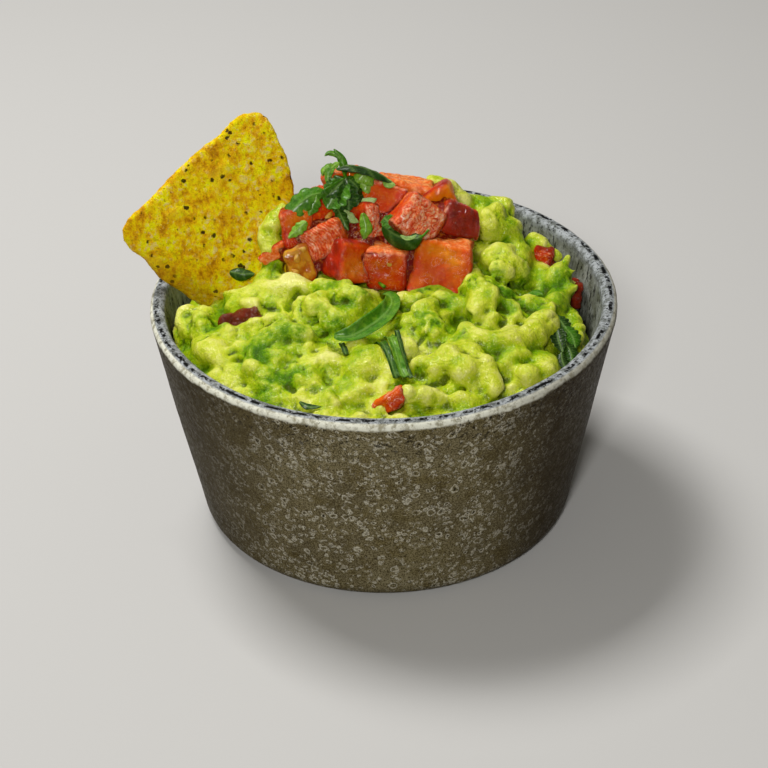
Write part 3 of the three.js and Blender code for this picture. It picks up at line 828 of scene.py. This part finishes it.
# Each die's middle, size and tilt, how deep its red is (for the bit by the wall, sitting in shade, this
# darkness is painted shade), and the faces, by its own axes, that are not flesh.
DICE = {
    "front_right": ((14.6, 2.8, 67.6), (15, 12, 14), (-26, 7, -4), 0, {"+z": "pale", "+x": "skin"}),
    "upper_left": ((-14, 7.5, 72.9), (12.6, 10, 8.5), (-27, -31, -4), 0, {"-y": "ribs", "+z": "ribs"}),
    "front_left": ((-9.2, 2.8, 69.4), (9.5, 9.5, 9.2), (-24, 20, 28), 0.05, {"-x": "skin", "+z": "skin"}),
    "front_middle": ((2.3, 3, 67.6), (10, 11, 9.8), (-10, 0, -14), 0.14, {"+z": "pale", "+x": "skin"}),
    "upper_right": ((8.9, 8.6, 78), (11, 8.5, 10), (-34, 42, 0), 0.1, {"-y": "fibre"}),
    "far_left": ((-21.9, 9.2, 75.8), (7.5, 6.5, 9.6), (-22, -8, 10), 0.1, {"+z": "skin"}),
    "jelly_left": ((-21.4, 3.4, 68.6), (7.2, 6.5, 10), (-26, -16, 8), 0,
                   {"-y": "jelly", "+z": "jelly", "-x": "jelly"}),
    "strip_left": ((-27.2, 5, 70.4), (8.5, 3, 2.8), (-30, -33, 4), 0, {"-y": "pale", "+z": "skin"}),
    "crown_left": ((-15.8, 13.5, 76), (9.5, 8, 10.5), (-26, 14, 14), 0.3, {"+z": "skin"}),
    "peak": ((-8.6, 18.4, 82.8), (9.2, 8.5, 7.5), (-24, -8, 16), 0, {"+z": "pale"}),
    "crown_middle": ((0.6, 15.4, 79.6), (10.5, 9, 8.5), (-28, 14, -16), 0.1, {"+z": "fibre", "+x": "skin"}),
    "crown_back": ((6.2, 21.6, 78.2), (14, 10, 7.5), (-16, 9, 2), 0, {"-y": "pale", "+z": "pale"}),
    "far_right": ((18.9, 13.2, 74.4), (9.8, 8, 8.5), (-32, 30, 18), 0.4, {"-y": "skin", "+x": "fibre"}),
    "right": ((15.4, 17.2, 77.2), (8, 8, 9.5), (-24, -24, 10), -0.05, {"+z": "skin"}),
    "middle": ((-2.8, 11.2, 76.6), (9, 8, 9), (-30, 10, 34), 0.25, {"-y": "fibre", "+z": "skin"}),
    "back_middle": ((-3.5, 26.5, 74.8), (12, 10, 9), (18, 8, 12), 0, {"+z": "pale"}),
    "back_right": ((6, 31.5, 70.5), (11, 9, 10), (26, -10, -18), 0, {"+y": "skin"}),
    "back_left": ((-13.5, 23.5, 71.4), (11, 10, 10), (22, 12, 30), 0, {"+y": "fibre", "-x": "skin"}),
    "bit_left": ((-35.4, -12.6, 60.8), (10, 5, 5.5), (-34, -22, 4), 0.85, {"-y": "skin", "+z": "skin"}),
    "bit_front": ((1.2, -46.8, 58.6), (8, 4.5, 3.6), (-30, -38, 0), 0.1, {}),
    "bit_back": ((42.4, 20.4, 58), (5, 5.5, 7), (-20, 12, -18), 0.3, {"+z": "skin"}),
    # Painted shade: this bit's deep, dark red stands in for the shade by the wall.
    "bit_wall": ((50.2, 12.4, 52), (3.4, 5, 7), (-8, 8, 12), 0.6, {"-y": "skin", "+z": "skin"}),
}
AXES = {"+x": (1, 0, 0), "-x": (-1, 0, 0), "+y": (0, 1, 0), "-y": (0, -1, 0), "+z": (0, 0, 1), "-z": (0, 0, -1)}


def tomato_material():
    n = Nodes("tomato_flesh")
    edge = n.value("edge")
    ox, oy, oz = n.parts(n.value("own", "Vector"))
    fine = n.noise(1.1, 4, 0.65)
    cloud = n.noise(0.2, 3, 0.6)
    # Painted light: the middle of each face is oranger and its edges redder, standing in for light glowing
    # through the flesh.
    border = n.math("POWER", n.math("MAXIMUM", edge, 0.0), 6.0)
    # Painted shade: deeper red towards the bottom of each die.
    low = n.range(oz, 4, -6, 0, 0.16)
    depth = border * 0.36 + cloud * 0.6 + 0.08 + low + n.value("deep")
    flesh = n.ramp(depth, [(0.2, "#dc8c00"), (0.42, "#d46400"), (0.6, "#ca3e00"), (0.8, "#ae1c00"),
                           (1.05, "#6e0800")])
    flesh = n.mix(n.range(fine, 0.5, 0.7, 0, 0.35), flesh, "#e88c14")
    # Painted highlights: small pale specks standing in for wet glints on the flesh.
    flesh = n.mix(n.range(n.noise(1.7, 4, 0.8), 0.62, 0.68, 0, 0.25), flesh, "#f6c080")
    # Painted highlights: thin pale curly lines standing in for wet glints.
    painted_curl_highlight = n.math("ABSOLUTE", n.noise(0.4, 2, 0.5, 2.5) - 0.5)
    painted_curl_highlight = n.range(painted_curl_highlight, 0.016, 0.004) * n.range(n.noise(0.22, 2), 0.52, 0.58)
    flesh = n.mix(painted_curl_highlight * 0.5, flesh, "#ffdcb4")
    # Painted highlight: pale dashes along the dice's edges.
    painted_edge_highlight = n.range(edge, 0.86, 0.96) * n.range(n.noise(0.5, 3, 0.6), 0.42, 0.56, 0, 0.4)
    flesh = n.mix(painted_edge_highlight * n.range(edge, 1.05, 1.0), flesh, "#f4b484")
    skin = n.mix(n.range(cloud, 0.35, 0.65), "#8a1400", "#b42400")
    # Skin is browned where the die's red is deep, which on the bit by the wall is painted shade.
    skin = n.mix(n.math("MULTIPLY", n.value("deep"), 1.2, clamp=True), skin, "#5a1c0a")
    skin = n.mix(n.range(n.noise(1.2, 4, 0.8), 0.62, 0.7, 0, 0.4), skin, "#e08a60")
    ripple = ox + oz * oz * 0.12 + n.noise(0.35, 3, 0.6) * 2.2
    rib = n.math("SINE", ripple * 7.6) * 0.065 + n.noise(0.6, 4, 0.7)
    ribs = n.ramp(rib, [(0.34, "#c83408"), (0.5, "#de6630"), (0.66, "#f0a27c")])
    thread = n.noise(0.75, 4, 0.7, 1.6, at=n.vector(ox * 1.1, oy, oz * 0.8))
    fibre = n.ramp(thread, [(0.36, "#cc2806"), (0.46, "#ec6430"), (0.56, "#f8a878"), (0.68, "#ffdcc4")])
    pale = n.mix(n.range(fine, 0.4, 0.7), "#d65a10", "#eda060")
    jelly = n.mix(n.range(n.noise(0.3, 3, 0.6), 0.38, 0.62), "#a85606", "#c48a1c")
    base = n.mix(n.value("skin"), flesh, skin)
    base = n.mix(n.value("ribs"), base, ribs)
    base = n.mix(n.value("fibre"), base, fibre)
    base = n.mix(n.value("pale") * 0.9, base, pale)
    base = n.mix(n.value("jelly"), base, jelly)
    relief = rib * (n.value("ribs") * 1.6) + thread * (n.value("fibre") * 1.6) + fine * 0.35
    normal = n.bump(relief, 1.0, 0.7)
    wrinkle = n.math("ABSOLUTE", n.noise(0.35, 1, 0.5, 2.0) - 0.5)
    wet = n.bump(wrinkle, 1.0, 2.2, n.bump(n.noise(0.8, 1, 0.5), 0.8, 0.5))
    return n.look(base=base, rough=0.45, normal=normal, specular=0.02, coat=0.65, coat_rough=0.07,
                  coat_normal=wet, sss=0.55, sss_radius=(1.0, 0.3, 0.05), sss_scale=2.2 * MM)


def make_die(name, middle, size, tilt, deep, looks):
    node, small = "tomato_" + name, name.startswith("bit_")
    rounds = 24 if "jelly" in looks.values() else 2
    voxel = DIE_VOXEL if max(size) > 6 else SMALL_DIE_VOXEL
    mesh, points, edges = voxel_mesh("tomato_die_" + name, *cad_data(node), voxel, rounds)
    rotation = np.array(Euler([math.radians(a) for a in tilt], "ZYX").to_matrix())
    own = (points - np.array(middle)) @ rotation
    normals = normals_of(mesh)
    flat = averaged(normals, edges, 3) @ rotation
    weights = {axis: np.maximum(0, flat @ np.array(v)) ** 6 for axis, v in AXES.items()}
    total = sum(weights.values()) + 1e-6
    kinds = {kind: np.zeros(len(points)) for kind in ("skin", "ribs", "fibre", "pale", "jelly")}
    for axis, kind in looks.items():
        kinds[kind] += weights[axis] / total
    edge = np.sort(np.abs(own / (np.array(size) / 2)), 1)[:, 1]
    seed = sum(ord(c) for c in node)
    sag = 0.4 * np.clip(1 - edge, 0, 1) * (1 - kinds["skin"]) - 0.12 * kinds["skin"]
    uneven = 0.35 + 0.4 * octaves(points, 4.2, seed, 2)
    uneven += 0.16 * octaves(points, 1.6, seed + 5, 2) * (1 - 0.8 * kinds["skin"])
    if small:
        uneven += 0.5 * octaves(points, 2.6, seed + 6, 2)
    warp = drift(points, 9, seed + 11, 1) * 0.09 * min(size)
    thread = np.abs(octaves(own * (1.6, 1, 0.6), 1.6, seed + 9, 2)) * kinds["fibre"] * 0.35
    set_points(mesh, points + warp + normals * (uneven - sag + thread)[:, None])
    deep = deep + 0.14 * octaves(points, 6, seed + 21, 1)
    attributes(mesh, edge=edge, own=own, deep=deep, **kinds)
    piece(mesh.name, mesh, tomato, "tomato", node)


def make_pulp():
    """The wet pulp that closes the gaps between the dice: the pile swollen, joined and shrunk again."""
    soup = Soup()
    for name in DICE:
        if name.startswith("bit_"):
            continue
        even, points, _ = voxel_mesh("swollen", *cad_data("tomato_" + name), SWOLLEN_VOXEL)
        soup.add(points + normals_of(even) * SWOLLEN, faces_of(even))
        bpy.data.meshes.remove(even)
    mesh, points, edges = voxel_mesh("tomato_pulp", *soup.all(), PULP_VOXEL, 2)
    shrink = SHRUNK + 0.3 * octaves(points, 3, 88, 2)
    points = points - averaged(normals_of(mesh), edges, 2) * shrink[:, None]
    points = averaged(points, edges, 3)
    set_points(mesh, points)
    # The pulp is given a dark, deep red, partly its own colour and partly painted shade in the gaps between the
    # dice.
    edge = 1.15 + 0.3 * octaves(points, 5, 89, 1)
    attributes(mesh, edge=edge, own=points, deep=np.full(len(points), 0.2))
    piece("tomato_pulp", mesh, tomato, "tomato")


tomato = tomato_material()
for name, die in DICE.items():
    make_die(name, *die)
make_pulp()

# ---------------------------------------------------------------- coriander
# Lobes: width, the way the face looks, cup, teeth, shade (-1 dark, 1 pale), points along the middle.
FRONT, UP, LOW = (0.0, -0.75, 0.66), (0.0, 0.2, 0.98), (0.1, -0.45, 0.9)
LOBES = [
    (5.4, FRONT, -0.3, 5, 0, (-14, 11.5, 84.5), (-18, 9.8, 84.6), (-21, 8.6, 82.8), (-23.6, 7.4, 80.8),
     (-25.6, 6.6, 79.3)),
    (3.2, FRONT, -0.2, 3, 0.2, (-19, 9.6, 84), (-20.5, 8.2, 81.5), (-21.8, 7, 79)),
    (3.6, FRONT, -0.2, 3, 0.1, (-16.5, 10, 84.5), (-17.6, 8.6, 82.2), (-18.6, 7.5, 80)),
    (7.4, FRONT, -0.5, 4, -0.5, (-9, 13.6, 87.6), (-9.4, 12, 84.6), (-10.6, 10.6, 81.8), (-12.4, 9.6, 79.8)),
    (6.6, FRONT, -0.4, 4, -0.4, (-9.2, 13.6, 87.4), (-11.6, 12, 85.4), (-14.6, 11, 83.6)),
    (7.2, FRONT, 0.4, 4, 0, (-9, 13.2, 86.6), (-12, 11, 83.2), (-14, 9.6, 80.8)),
    (7.4, FRONT, -0.6, 4, -0.7, (-8.8, 13.4, 87.2), (-7.2, 11.6, 84.2), (-5.6, 9.8, 80.9)),
    (5.8, FRONT, 0.5, 4, -0.5, (-9, 13, 86.4), (-8.6, 11.2, 83), (-8.4, 9.8, 80)),
    (3.8, FRONT, -0.4, 3, -0.2, (-8.8, 13.8, 87.4), (-7, 12.6, 86.4), (-5.8, 12, 84.8)),
    (5.2, UP, -0.35, 0, -0.8, (-11.4, 15.2, 89.2), (-8.5, 15.4, 90), (-5.4, 15.2, 89.6), (-2.3, 14.6, 88.8),
     (0.7, 13.8, 87.4), (2.6, 13, 86.2)),
    (2.4, FRONT, -0.2, 0, 0.5, (0.6, 13.2, 86.6), (2, 12.6, 86), (3.6, 12.6, 85.6)),
    (2.3, FRONT, -0.3, 0, 0, (-9.2, 15.4, 87.4), (-9.6, 16.8, 89.6), (-10.4, 18, 91.2), (-12, 19, 93)),
    (1.5, FRONT, -0.5, 0, 0.1, (-10.4, 17.6, 90.8), (-11.8, 18.4, 91.9), (-13.4, 18.5, 92.1),
     (-14.4, 18.2, 91.4)),
    (2, FRONT, 0.2, 0, 0.2, (-13.8, 14.4, 85.4), (-13.5, 15.6, 87.4), (-12.6, 16.6, 88.8),
     (-12.9, 17.3, 89.9)),
    (2.3, FRONT, -0.4, 2, 0.3, (-12.2, 16.4, 88.4), (-13.4, 16.8, 88.8), (-14.6, 16.3, 88.1),
     (-15.1, 15.8, 86.9)),
    (1.6, FRONT, 0.2, 0, 0.3, (-12.8, 16.4, 88.6), (-11.4, 16.8, 89.6), (-10.6, 17, 90)),
    (3.2, FRONT, -0.3, 2, 0.35, (-4.8, 13.6, 88.2), (-6, 13, 87), (-6.4, 12.6, 85.8)),
    (3.6, FRONT, -0.3, 3, 0.45, (-4.4, 13.6, 88.2), (-4, 12.8, 86), (-3.3, 11.6, 83.8)),
    (3, FRONT, -0.3, 2, 0.25, (-4.2, 13.6, 88), (-3, 12.8, 86.8), (-2.2, 12.4, 85.6)),
    (2.3, FRONT, -0.2, 0, 0.9, (-5.6, 11, 82), (-3.4, 10.2, 82.3), (-1.2, 10.4, 83)),
    (3, FRONT, -0.5, 3, -0.4, (-11.4, 10, 80.9), (-10, 7.2, 79), (-8.6, 5.6, 76.6)),
    (2.4, FRONT, -0.4, 2, 0.75, (-9.6, 9.4, 80.4), (-8.2, 8.6, 78.8), (-6, 7.4, 77.8)),
    (3.1, FRONT, -0.4, 2, 0.3, (-5, 6.6, 81), (-4.1, 5, 78.4), (-4.4, 3.9, 76.6), (-4.9, 3.7, 75)),
    (5.4, FRONT, -0.7, 0, -0.45, (0.2, 4.6, 78.4), (2.8, 2.4, 77.3), (5.8, 0.6, 76.8), (8.4, -0.6, 77.4),
     (10.2, -0.2, 77.9)),
    (3.8, FRONT, 0.5, 4, -0.1, (0.4, 5.6, 80), (2, 4.2, 79.3), (4, 2.4, 78.6)),
    # This narrow pale lobe is a painted highlight along a curled leaf edge.
    (1.1, FRONT, 0.3, 0, 0.6, (4.6, -1.4, 78.8), (6, -1.7, 78.1), (7.6, -1.5, 78.2), (8.8, -1.2, 78.9)),
    (3, FRONT, -0.4, 4, 0.4, (-19.2, 5.6, 79.4), (-21.4, 4.6, 77.8), (-24, 3.6, 75.8)),
    (3.4, FRONT, -0.5, 0, -0.4, (-39.4, 3.8, 66), (-36.2, 3, 65.8), (-33, 3.2, 65.6)),
    (5.2, LOW, 0.6, 0, 0.1, (-12.4, -26.6, 65.4), (-8.4, -26.6, 67), (-4.2, -23.8, 67), (-0.2, -19.6, 67.2),
     (2, -14.6, 67.4), (1.6, -9.6, 66.6), (-0.8, -5.8, 66)),
    (1.6, LOW, 0.2, -1, -0.6, (-10.6, -27, 65.6), (-9.8, -30, 65.6), (-9.4, -33, 65.2)),
    (2.2, LOW, 0.5, -1, -0.3, (-1.6, -27, 65.6), (0.6, -35, 66), (3.2, -43.4, 64.6)),
    (2.6, LOW, 0.5, -1, 0.2, (0.9, -27.4, 65.6), (3, -35, 66), (5.2, -42.6, 65)),
    (1.6, LOW, 0.4, -1, -0.5, (3, -29, 65.6), (4.9, -36, 66), (6.4, -42.6, 65)),
    (1.6, LOW, 0.3, 0, -0.5, (-20.8, -46, 62), (-18, -48, 62.2), (-15, -49, 62)),
    (4, FRONT, -0.7, 6, -0.5, (43.4, -13.5, 61.6), (45, -16, 60.6), (45.8, -18.6, 59.4)),
    (4.2, FRONT, -0.6, 6, -0.1, (45.4, -17, 60.4), (47.2, -19.5, 59), (47.8, -22.5, 57.6)),
    (4, FRONT, 0.6, 6, -0.9, (43.2, -18, 60.4), (43.6, -21.4, 59.2), (44.4, -24.6, 57.8)),
    (3.8, FRONT, -0.6, 6, -0.6, (45.2, -22, 59), (46.4, -25, 57.8), (46.6, -28, 56.6)),
    (3, FRONT, -0.4, 5, -0.9, (44, -25, 58), (44.2, -27.6, 56.8), (45, -30, 55.8)),
    (2.4, LOW, -0.3, 0, 0.1, (36.6, -1, 61), (38.8, -3.6, 61), (41, -6, 61)),
]
# Stems: points and radius.
STEMS = [
    ([(-9, 13.6, 87.4), (-9.4, 14.6, 88), (-9.6, 15.6, 88.6)], 0.5),
    ([(9.6, -0.6, 77.7), (10.6, 0.2, 78), (11.8, 1, 79)], 0.4),
    ([(-15, 11.2, 85), (-12, 12.6, 86.4), (-9.4, 13.6, 87.4)], 0.4),
    ([(0.2, -5.6, 66.4), (-0.8, -3.4, 66), (-1.4, -1.4, 65.6)], 0.5),
]


def spline(points, count):
    """Even steps along a smooth curve through the points."""
    given = np.array(points, float)
    given = np.concatenate([[2 * given[0] - given[1]], given, [2 * given[-1] - given[-2]]])
    made = []
    for k in range(count):
        whole = min(int(k / (count - 1) * (len(points) - 1)), len(points) - 2)
        u = k / (count - 1) * (len(points) - 1) - whole
        a, b, c, d = given[whole:whole + 4]
        square, cube = 2 * a - 5 * b + 4 * c - d, 3 * b - a - 3 * c + d
        made.append(0.5 * (2 * b + (c - a) * u + square * u ** 2 + cube * u ** 3))
    return np.array(made)


def unit(vectors):
    return vectors / np.maximum(1e-9, np.linalg.norm(vectors, axis=-1, keepdims=True))


def lobe(middle, width, facing, cup, teeth, seed, thick=0.13, rows=30, cols=10):
    """A closed thin leaf lobe: its points, faces and how near each point is to a vein."""
    spine = spline(middle, rows)
    along = unit(np.gradient(spine, axis=0))
    normal = unit(np.array(facing) - along * (along @ np.array(facing))[:, None])
    side = np.cross(normal, along)
    s = np.linspace(0, 1, rows)
    half = width / 2 * np.maximum(0.04, np.sin(math.pi * np.clip(0.05 + 0.94 * s ** 0.85, 0, 1))) ** 0.75
    if teeth < 0:
        half = width / 2 * (0.86 + 0.14 * octaves(spine, 5, seed, 1))
    sheets, veins = [], []
    for sign in (1, -1):
        for k in range(cols + 1):
            t = 2 * k / cols - 1
            tooth = 1
            if teeth > 0:
                tooth += 0.26 * np.abs(np.sin(math.pi * (teeth * s + 0.5 * (t > 0)))) - 0.16
            reach = half * t * tooth
            lift = cup * t * t * half + sign * thick * (1 - 0.6 * abs(t) ** 3)
            place = spine + side * reach[:, None] + normal * lift[:, None]
            ripple = 0.28 * abs(t) * octaves(place, 2.2, seed, 2)
            sheets.append(place + normal * ripple[:, None])
            near = np.exp(-(reach / 0.22) ** 2)
            branch = np.abs((s * (abs(teeth) + 3) - 0.5 * abs(t)) % 1 - 0.5)
            veins.append(np.maximum(near, 0.6 * np.exp(-(branch / 0.09) ** 2)))
    points = np.stack(sheets, 1).reshape(-1, 3)
    veins = np.stack(veins, 1).ravel()
    across = 2 * (cols + 1)

    def at(row, col, sheet):
        return row * across + sheet * (cols + 1) + col
    faces = []
    for r in range(rows - 1):
        for c in range(cols):
            faces.append((at(r, c, 0), at(r, c + 1, 0), at(r + 1, c + 1, 0), at(r + 1, c, 0)))
            faces.append((at(r, c, 1), at(r + 1, c, 1), at(r + 1, c + 1, 1), at(r, c + 1, 1)))
        for c in (0, cols):
            rim = (at(r, c, 0), at(r + 1, c, 0), at(r + 1, c, 1), at(r, c, 1))
            faces.append(rim if c == 0 else rim[::-1])
    for r in (0, rows - 1):
        for c in range(cols):
            end = (at(r, c, 0), at(r, c, 1), at(r, c + 1, 1), at(r, c + 1, 0))
            faces.append(end if r == 0 else end[::-1])
    return points, faces, veins


def tube(middle, radius, rows=18, sides=10):
    spine = spline(middle, rows)
    along = unit(np.gradient(spine, axis=0))
    side = unit(np.cross(along, (0.3, 0.2, 0.9)))
    over = np.cross(along, side)
    turn = np.arange(sides) * 2 * math.pi / sides
    taper = radius * (1 - 0.35 * np.linspace(0, 1, rows))
    rings = spine[:, None] + taper[:, None, None] * (
        side[:, None] * np.cos(turn)[None, :, None] + over[:, None] * np.sin(turn)[None, :, None])
    faces = [tuple(range(sides)), tuple(range(rows * sides - 1, (rows - 1) * sides - 1, -1))]
    for r in range(rows - 1):
        for k in range(sides):
            n = (k + 1) % sides
            faces.append((r * sides + k, (r + 1) * sides + k, (r + 1) * sides + n, r * sides + n))
    return rings.reshape(-1, 3), faces


def leaf_material(name):
    n = Nodes(name)
    shade, vein = n.value("shade"), n.value("vein")
    cloud = n.noise(0.5, 3, 0.6)
    cell = n.noise(2.2, 3, 0.65)
    share = shade + (cloud - 0.5) * 0.9
    base = n.ramp(n.range(share, -1.1, 1.1), [
        (0, "#112a00"), (0.3, "#234c00"), (0.55, "#3f7600"), (0.75, "#74a020"), (1, "#b4cc86")])
    base = n.mix(vein * 0.45, base, "#86a850")
    base = n.mix(n.range(cell, 0.5, 0.68, 0, 0.35), base, "#16360a")
    normal = n.bump(vein * -0.7 + cell * 0.9, 0.8, 0.3)
    return n.look(base=base, rough=0.42, normal=normal, specular=0.15, coat=0.15, coat_rough=0.18,
                  sss=0.12, sss_radius=(0.6, 1.0, 0.2), sss_scale=0.4 * MM)


def laid(middle, mash):
    """The same points, resting just above the mash."""
    path = spline(middle, 4 * len(middle))
    ground = []
    for x, y, z in path:
        hit, _ = below(mash, x, y, MM)
        ground.append(hit.z / MM + 0.5 if hit else z)
    steps = np.arange(len(path))
    height = np.polyval(np.polyfit(steps, ground, 3), steps)
    path[:, 2] = height + max(np.array(ground) - height) + 0.1
    return path[::2]


def make_green(name, material, soup, vein, shade):
    mesh = plain_mesh(name, *soup.all())
    attributes(mesh, vein=vein, shade=shade)
    piece(name, mesh, leaf_material(material))


def make_coriander(mash):
    leaves, stems, veins, shades = Soup(), Soup(), [], []
    for k, (width, facing, cup, teeth, shade, *middle) in enumerate(LOBES):
        if facing == LOW:
            middle = laid(middle, mash)
        points, faces, vein = lobe(middle, width, facing, cup, teeth, 300 + 7 * k)
        leaves.add(points, faces)
        veins.append(vein)
        shades.append(np.full(len(points), shade, float))
    veins, shades = np.concatenate(veins), np.concatenate(shades)
    make_green("coriander_leaves", "coriander_leaf", leaves, veins, shades)
    for middle, radius in STEMS:
        stems.add(*tube(middle, radius))
    plain = np.zeros(stems.count)
    make_green("coriander_stems", "coriander_stem", stems, plain, plain + 0.1)


make_coriander(BVHTree.FromObject(mash, bpy.context.evaluated_depsgraph_get()))

# ---------------------------------------------------------------- seeds
# Tomato seeds: middle and length, laid on the nearest cut face.
SEEDS = [
    ((-21.8, 1, 71.4), 2.4), ((-22.4, 0.6, 67.6), 2.4), ((-20.4, 1.6, 73.6), 1.9), ((-13.4, 9.6, 78.6), 2.9),
    ((-10.8, 13.4, 86.6), 2.2), ((-11.8, 13.6, 85.4), 2), ((-7.4, 13.4, 86.4), 1.9), ((17.6, 9.4, 77.6), 2),
    ((19.4, 9, 76.4), 1.9), ((5, 6.2, 72.2), 1.9), ((1.6, -1.6, 71), 1.7),
]


def seed_material():
    n = Nodes("tomato_seed")
    base = n.mix(n.range(n.noise(0.9, 3), 0.4, 0.6), "#b8801c", "#d0a040")
    return n.look(base=base, rough=0.3, specular=0.1, coat=0.7, coat_rough=0.06,
                  sss=0.4, sss_radius=(1.0, 0.6, 0.2), sss_scale=0.6 * MM)


def make_seeds():
    dice = tree_of(*("tomato_" + name for name in DICE))
    chance = random.Random(17)
    ball, shape = sphere_shape(3)
    soup = Soup()
    for middle, length in SEEDS:
        near, normal, _, _ = dice.find_nearest(Vector(middle))
        spin = Euler((0, 0, chance.uniform(0, math.pi))).to_matrix()
        turn = normal.to_track_quat("Z", "Y").to_matrix() @ spin
        point = ball * (0.5 * length, 0.33 * length, 0.2 * length)
        point[:, 1] *= 1 - 0.45 * ball[:, 0]
        soup.add(point @ np.array(turn).T + np.array(near + normal * 0.12), shape)
    piece("tomato_seeds", plain_mesh("tomato_seeds", *soup.all()), seed_material(), "tomato")


make_seeds()

# ---------------------------------------------------------------- floor and light
def make_stage():
    bpy.ops.mesh.primitive_plane_add(size=6, location=(0, 0, 0))
    floor = bpy.context.object
    floor.name = "floor"
    n = Nodes("pale_floor")
    n.look(base=(0.52, 0.51, 0.49, 1), rough=0.9, specular=0.05)
    floor.data.materials.append(n.material)
    world = bpy.data.worlds.new("studio")
    bpy.context.scene.world = world
    world.use_nodes = True
    background = world.node_tree.nodes["Background"].inputs
    background[0].default_value, background[1].default_value = (1.0, 0.96, 0.86, 1), 0.15
    for name, at, size, power in (
        ("key", (-0.26, 0.24, 0.72), 0.26, 5.6),
        ("fill", (-0.10, -0.80, 0.62), 0.12, 4.8),
    ):
        data = bpy.data.lights.new(name, "AREA")
        data.energy = power
        data.size = size
        light = bpy.data.objects.new(name, data)
        bpy.context.scene.collection.objects.link(light)
        light.location = at
        light.rotation_mode = "QUATERNION"
        light.rotation_quaternion = (Vector((0, 0, 0.05)) - Vector(at)).to_track_quat("-Z", "Y")
    bpy.context.scene.view_settings.view_transform = "Standard"
    bpy.context.scene.view_settings.look = "None"


make_stage()
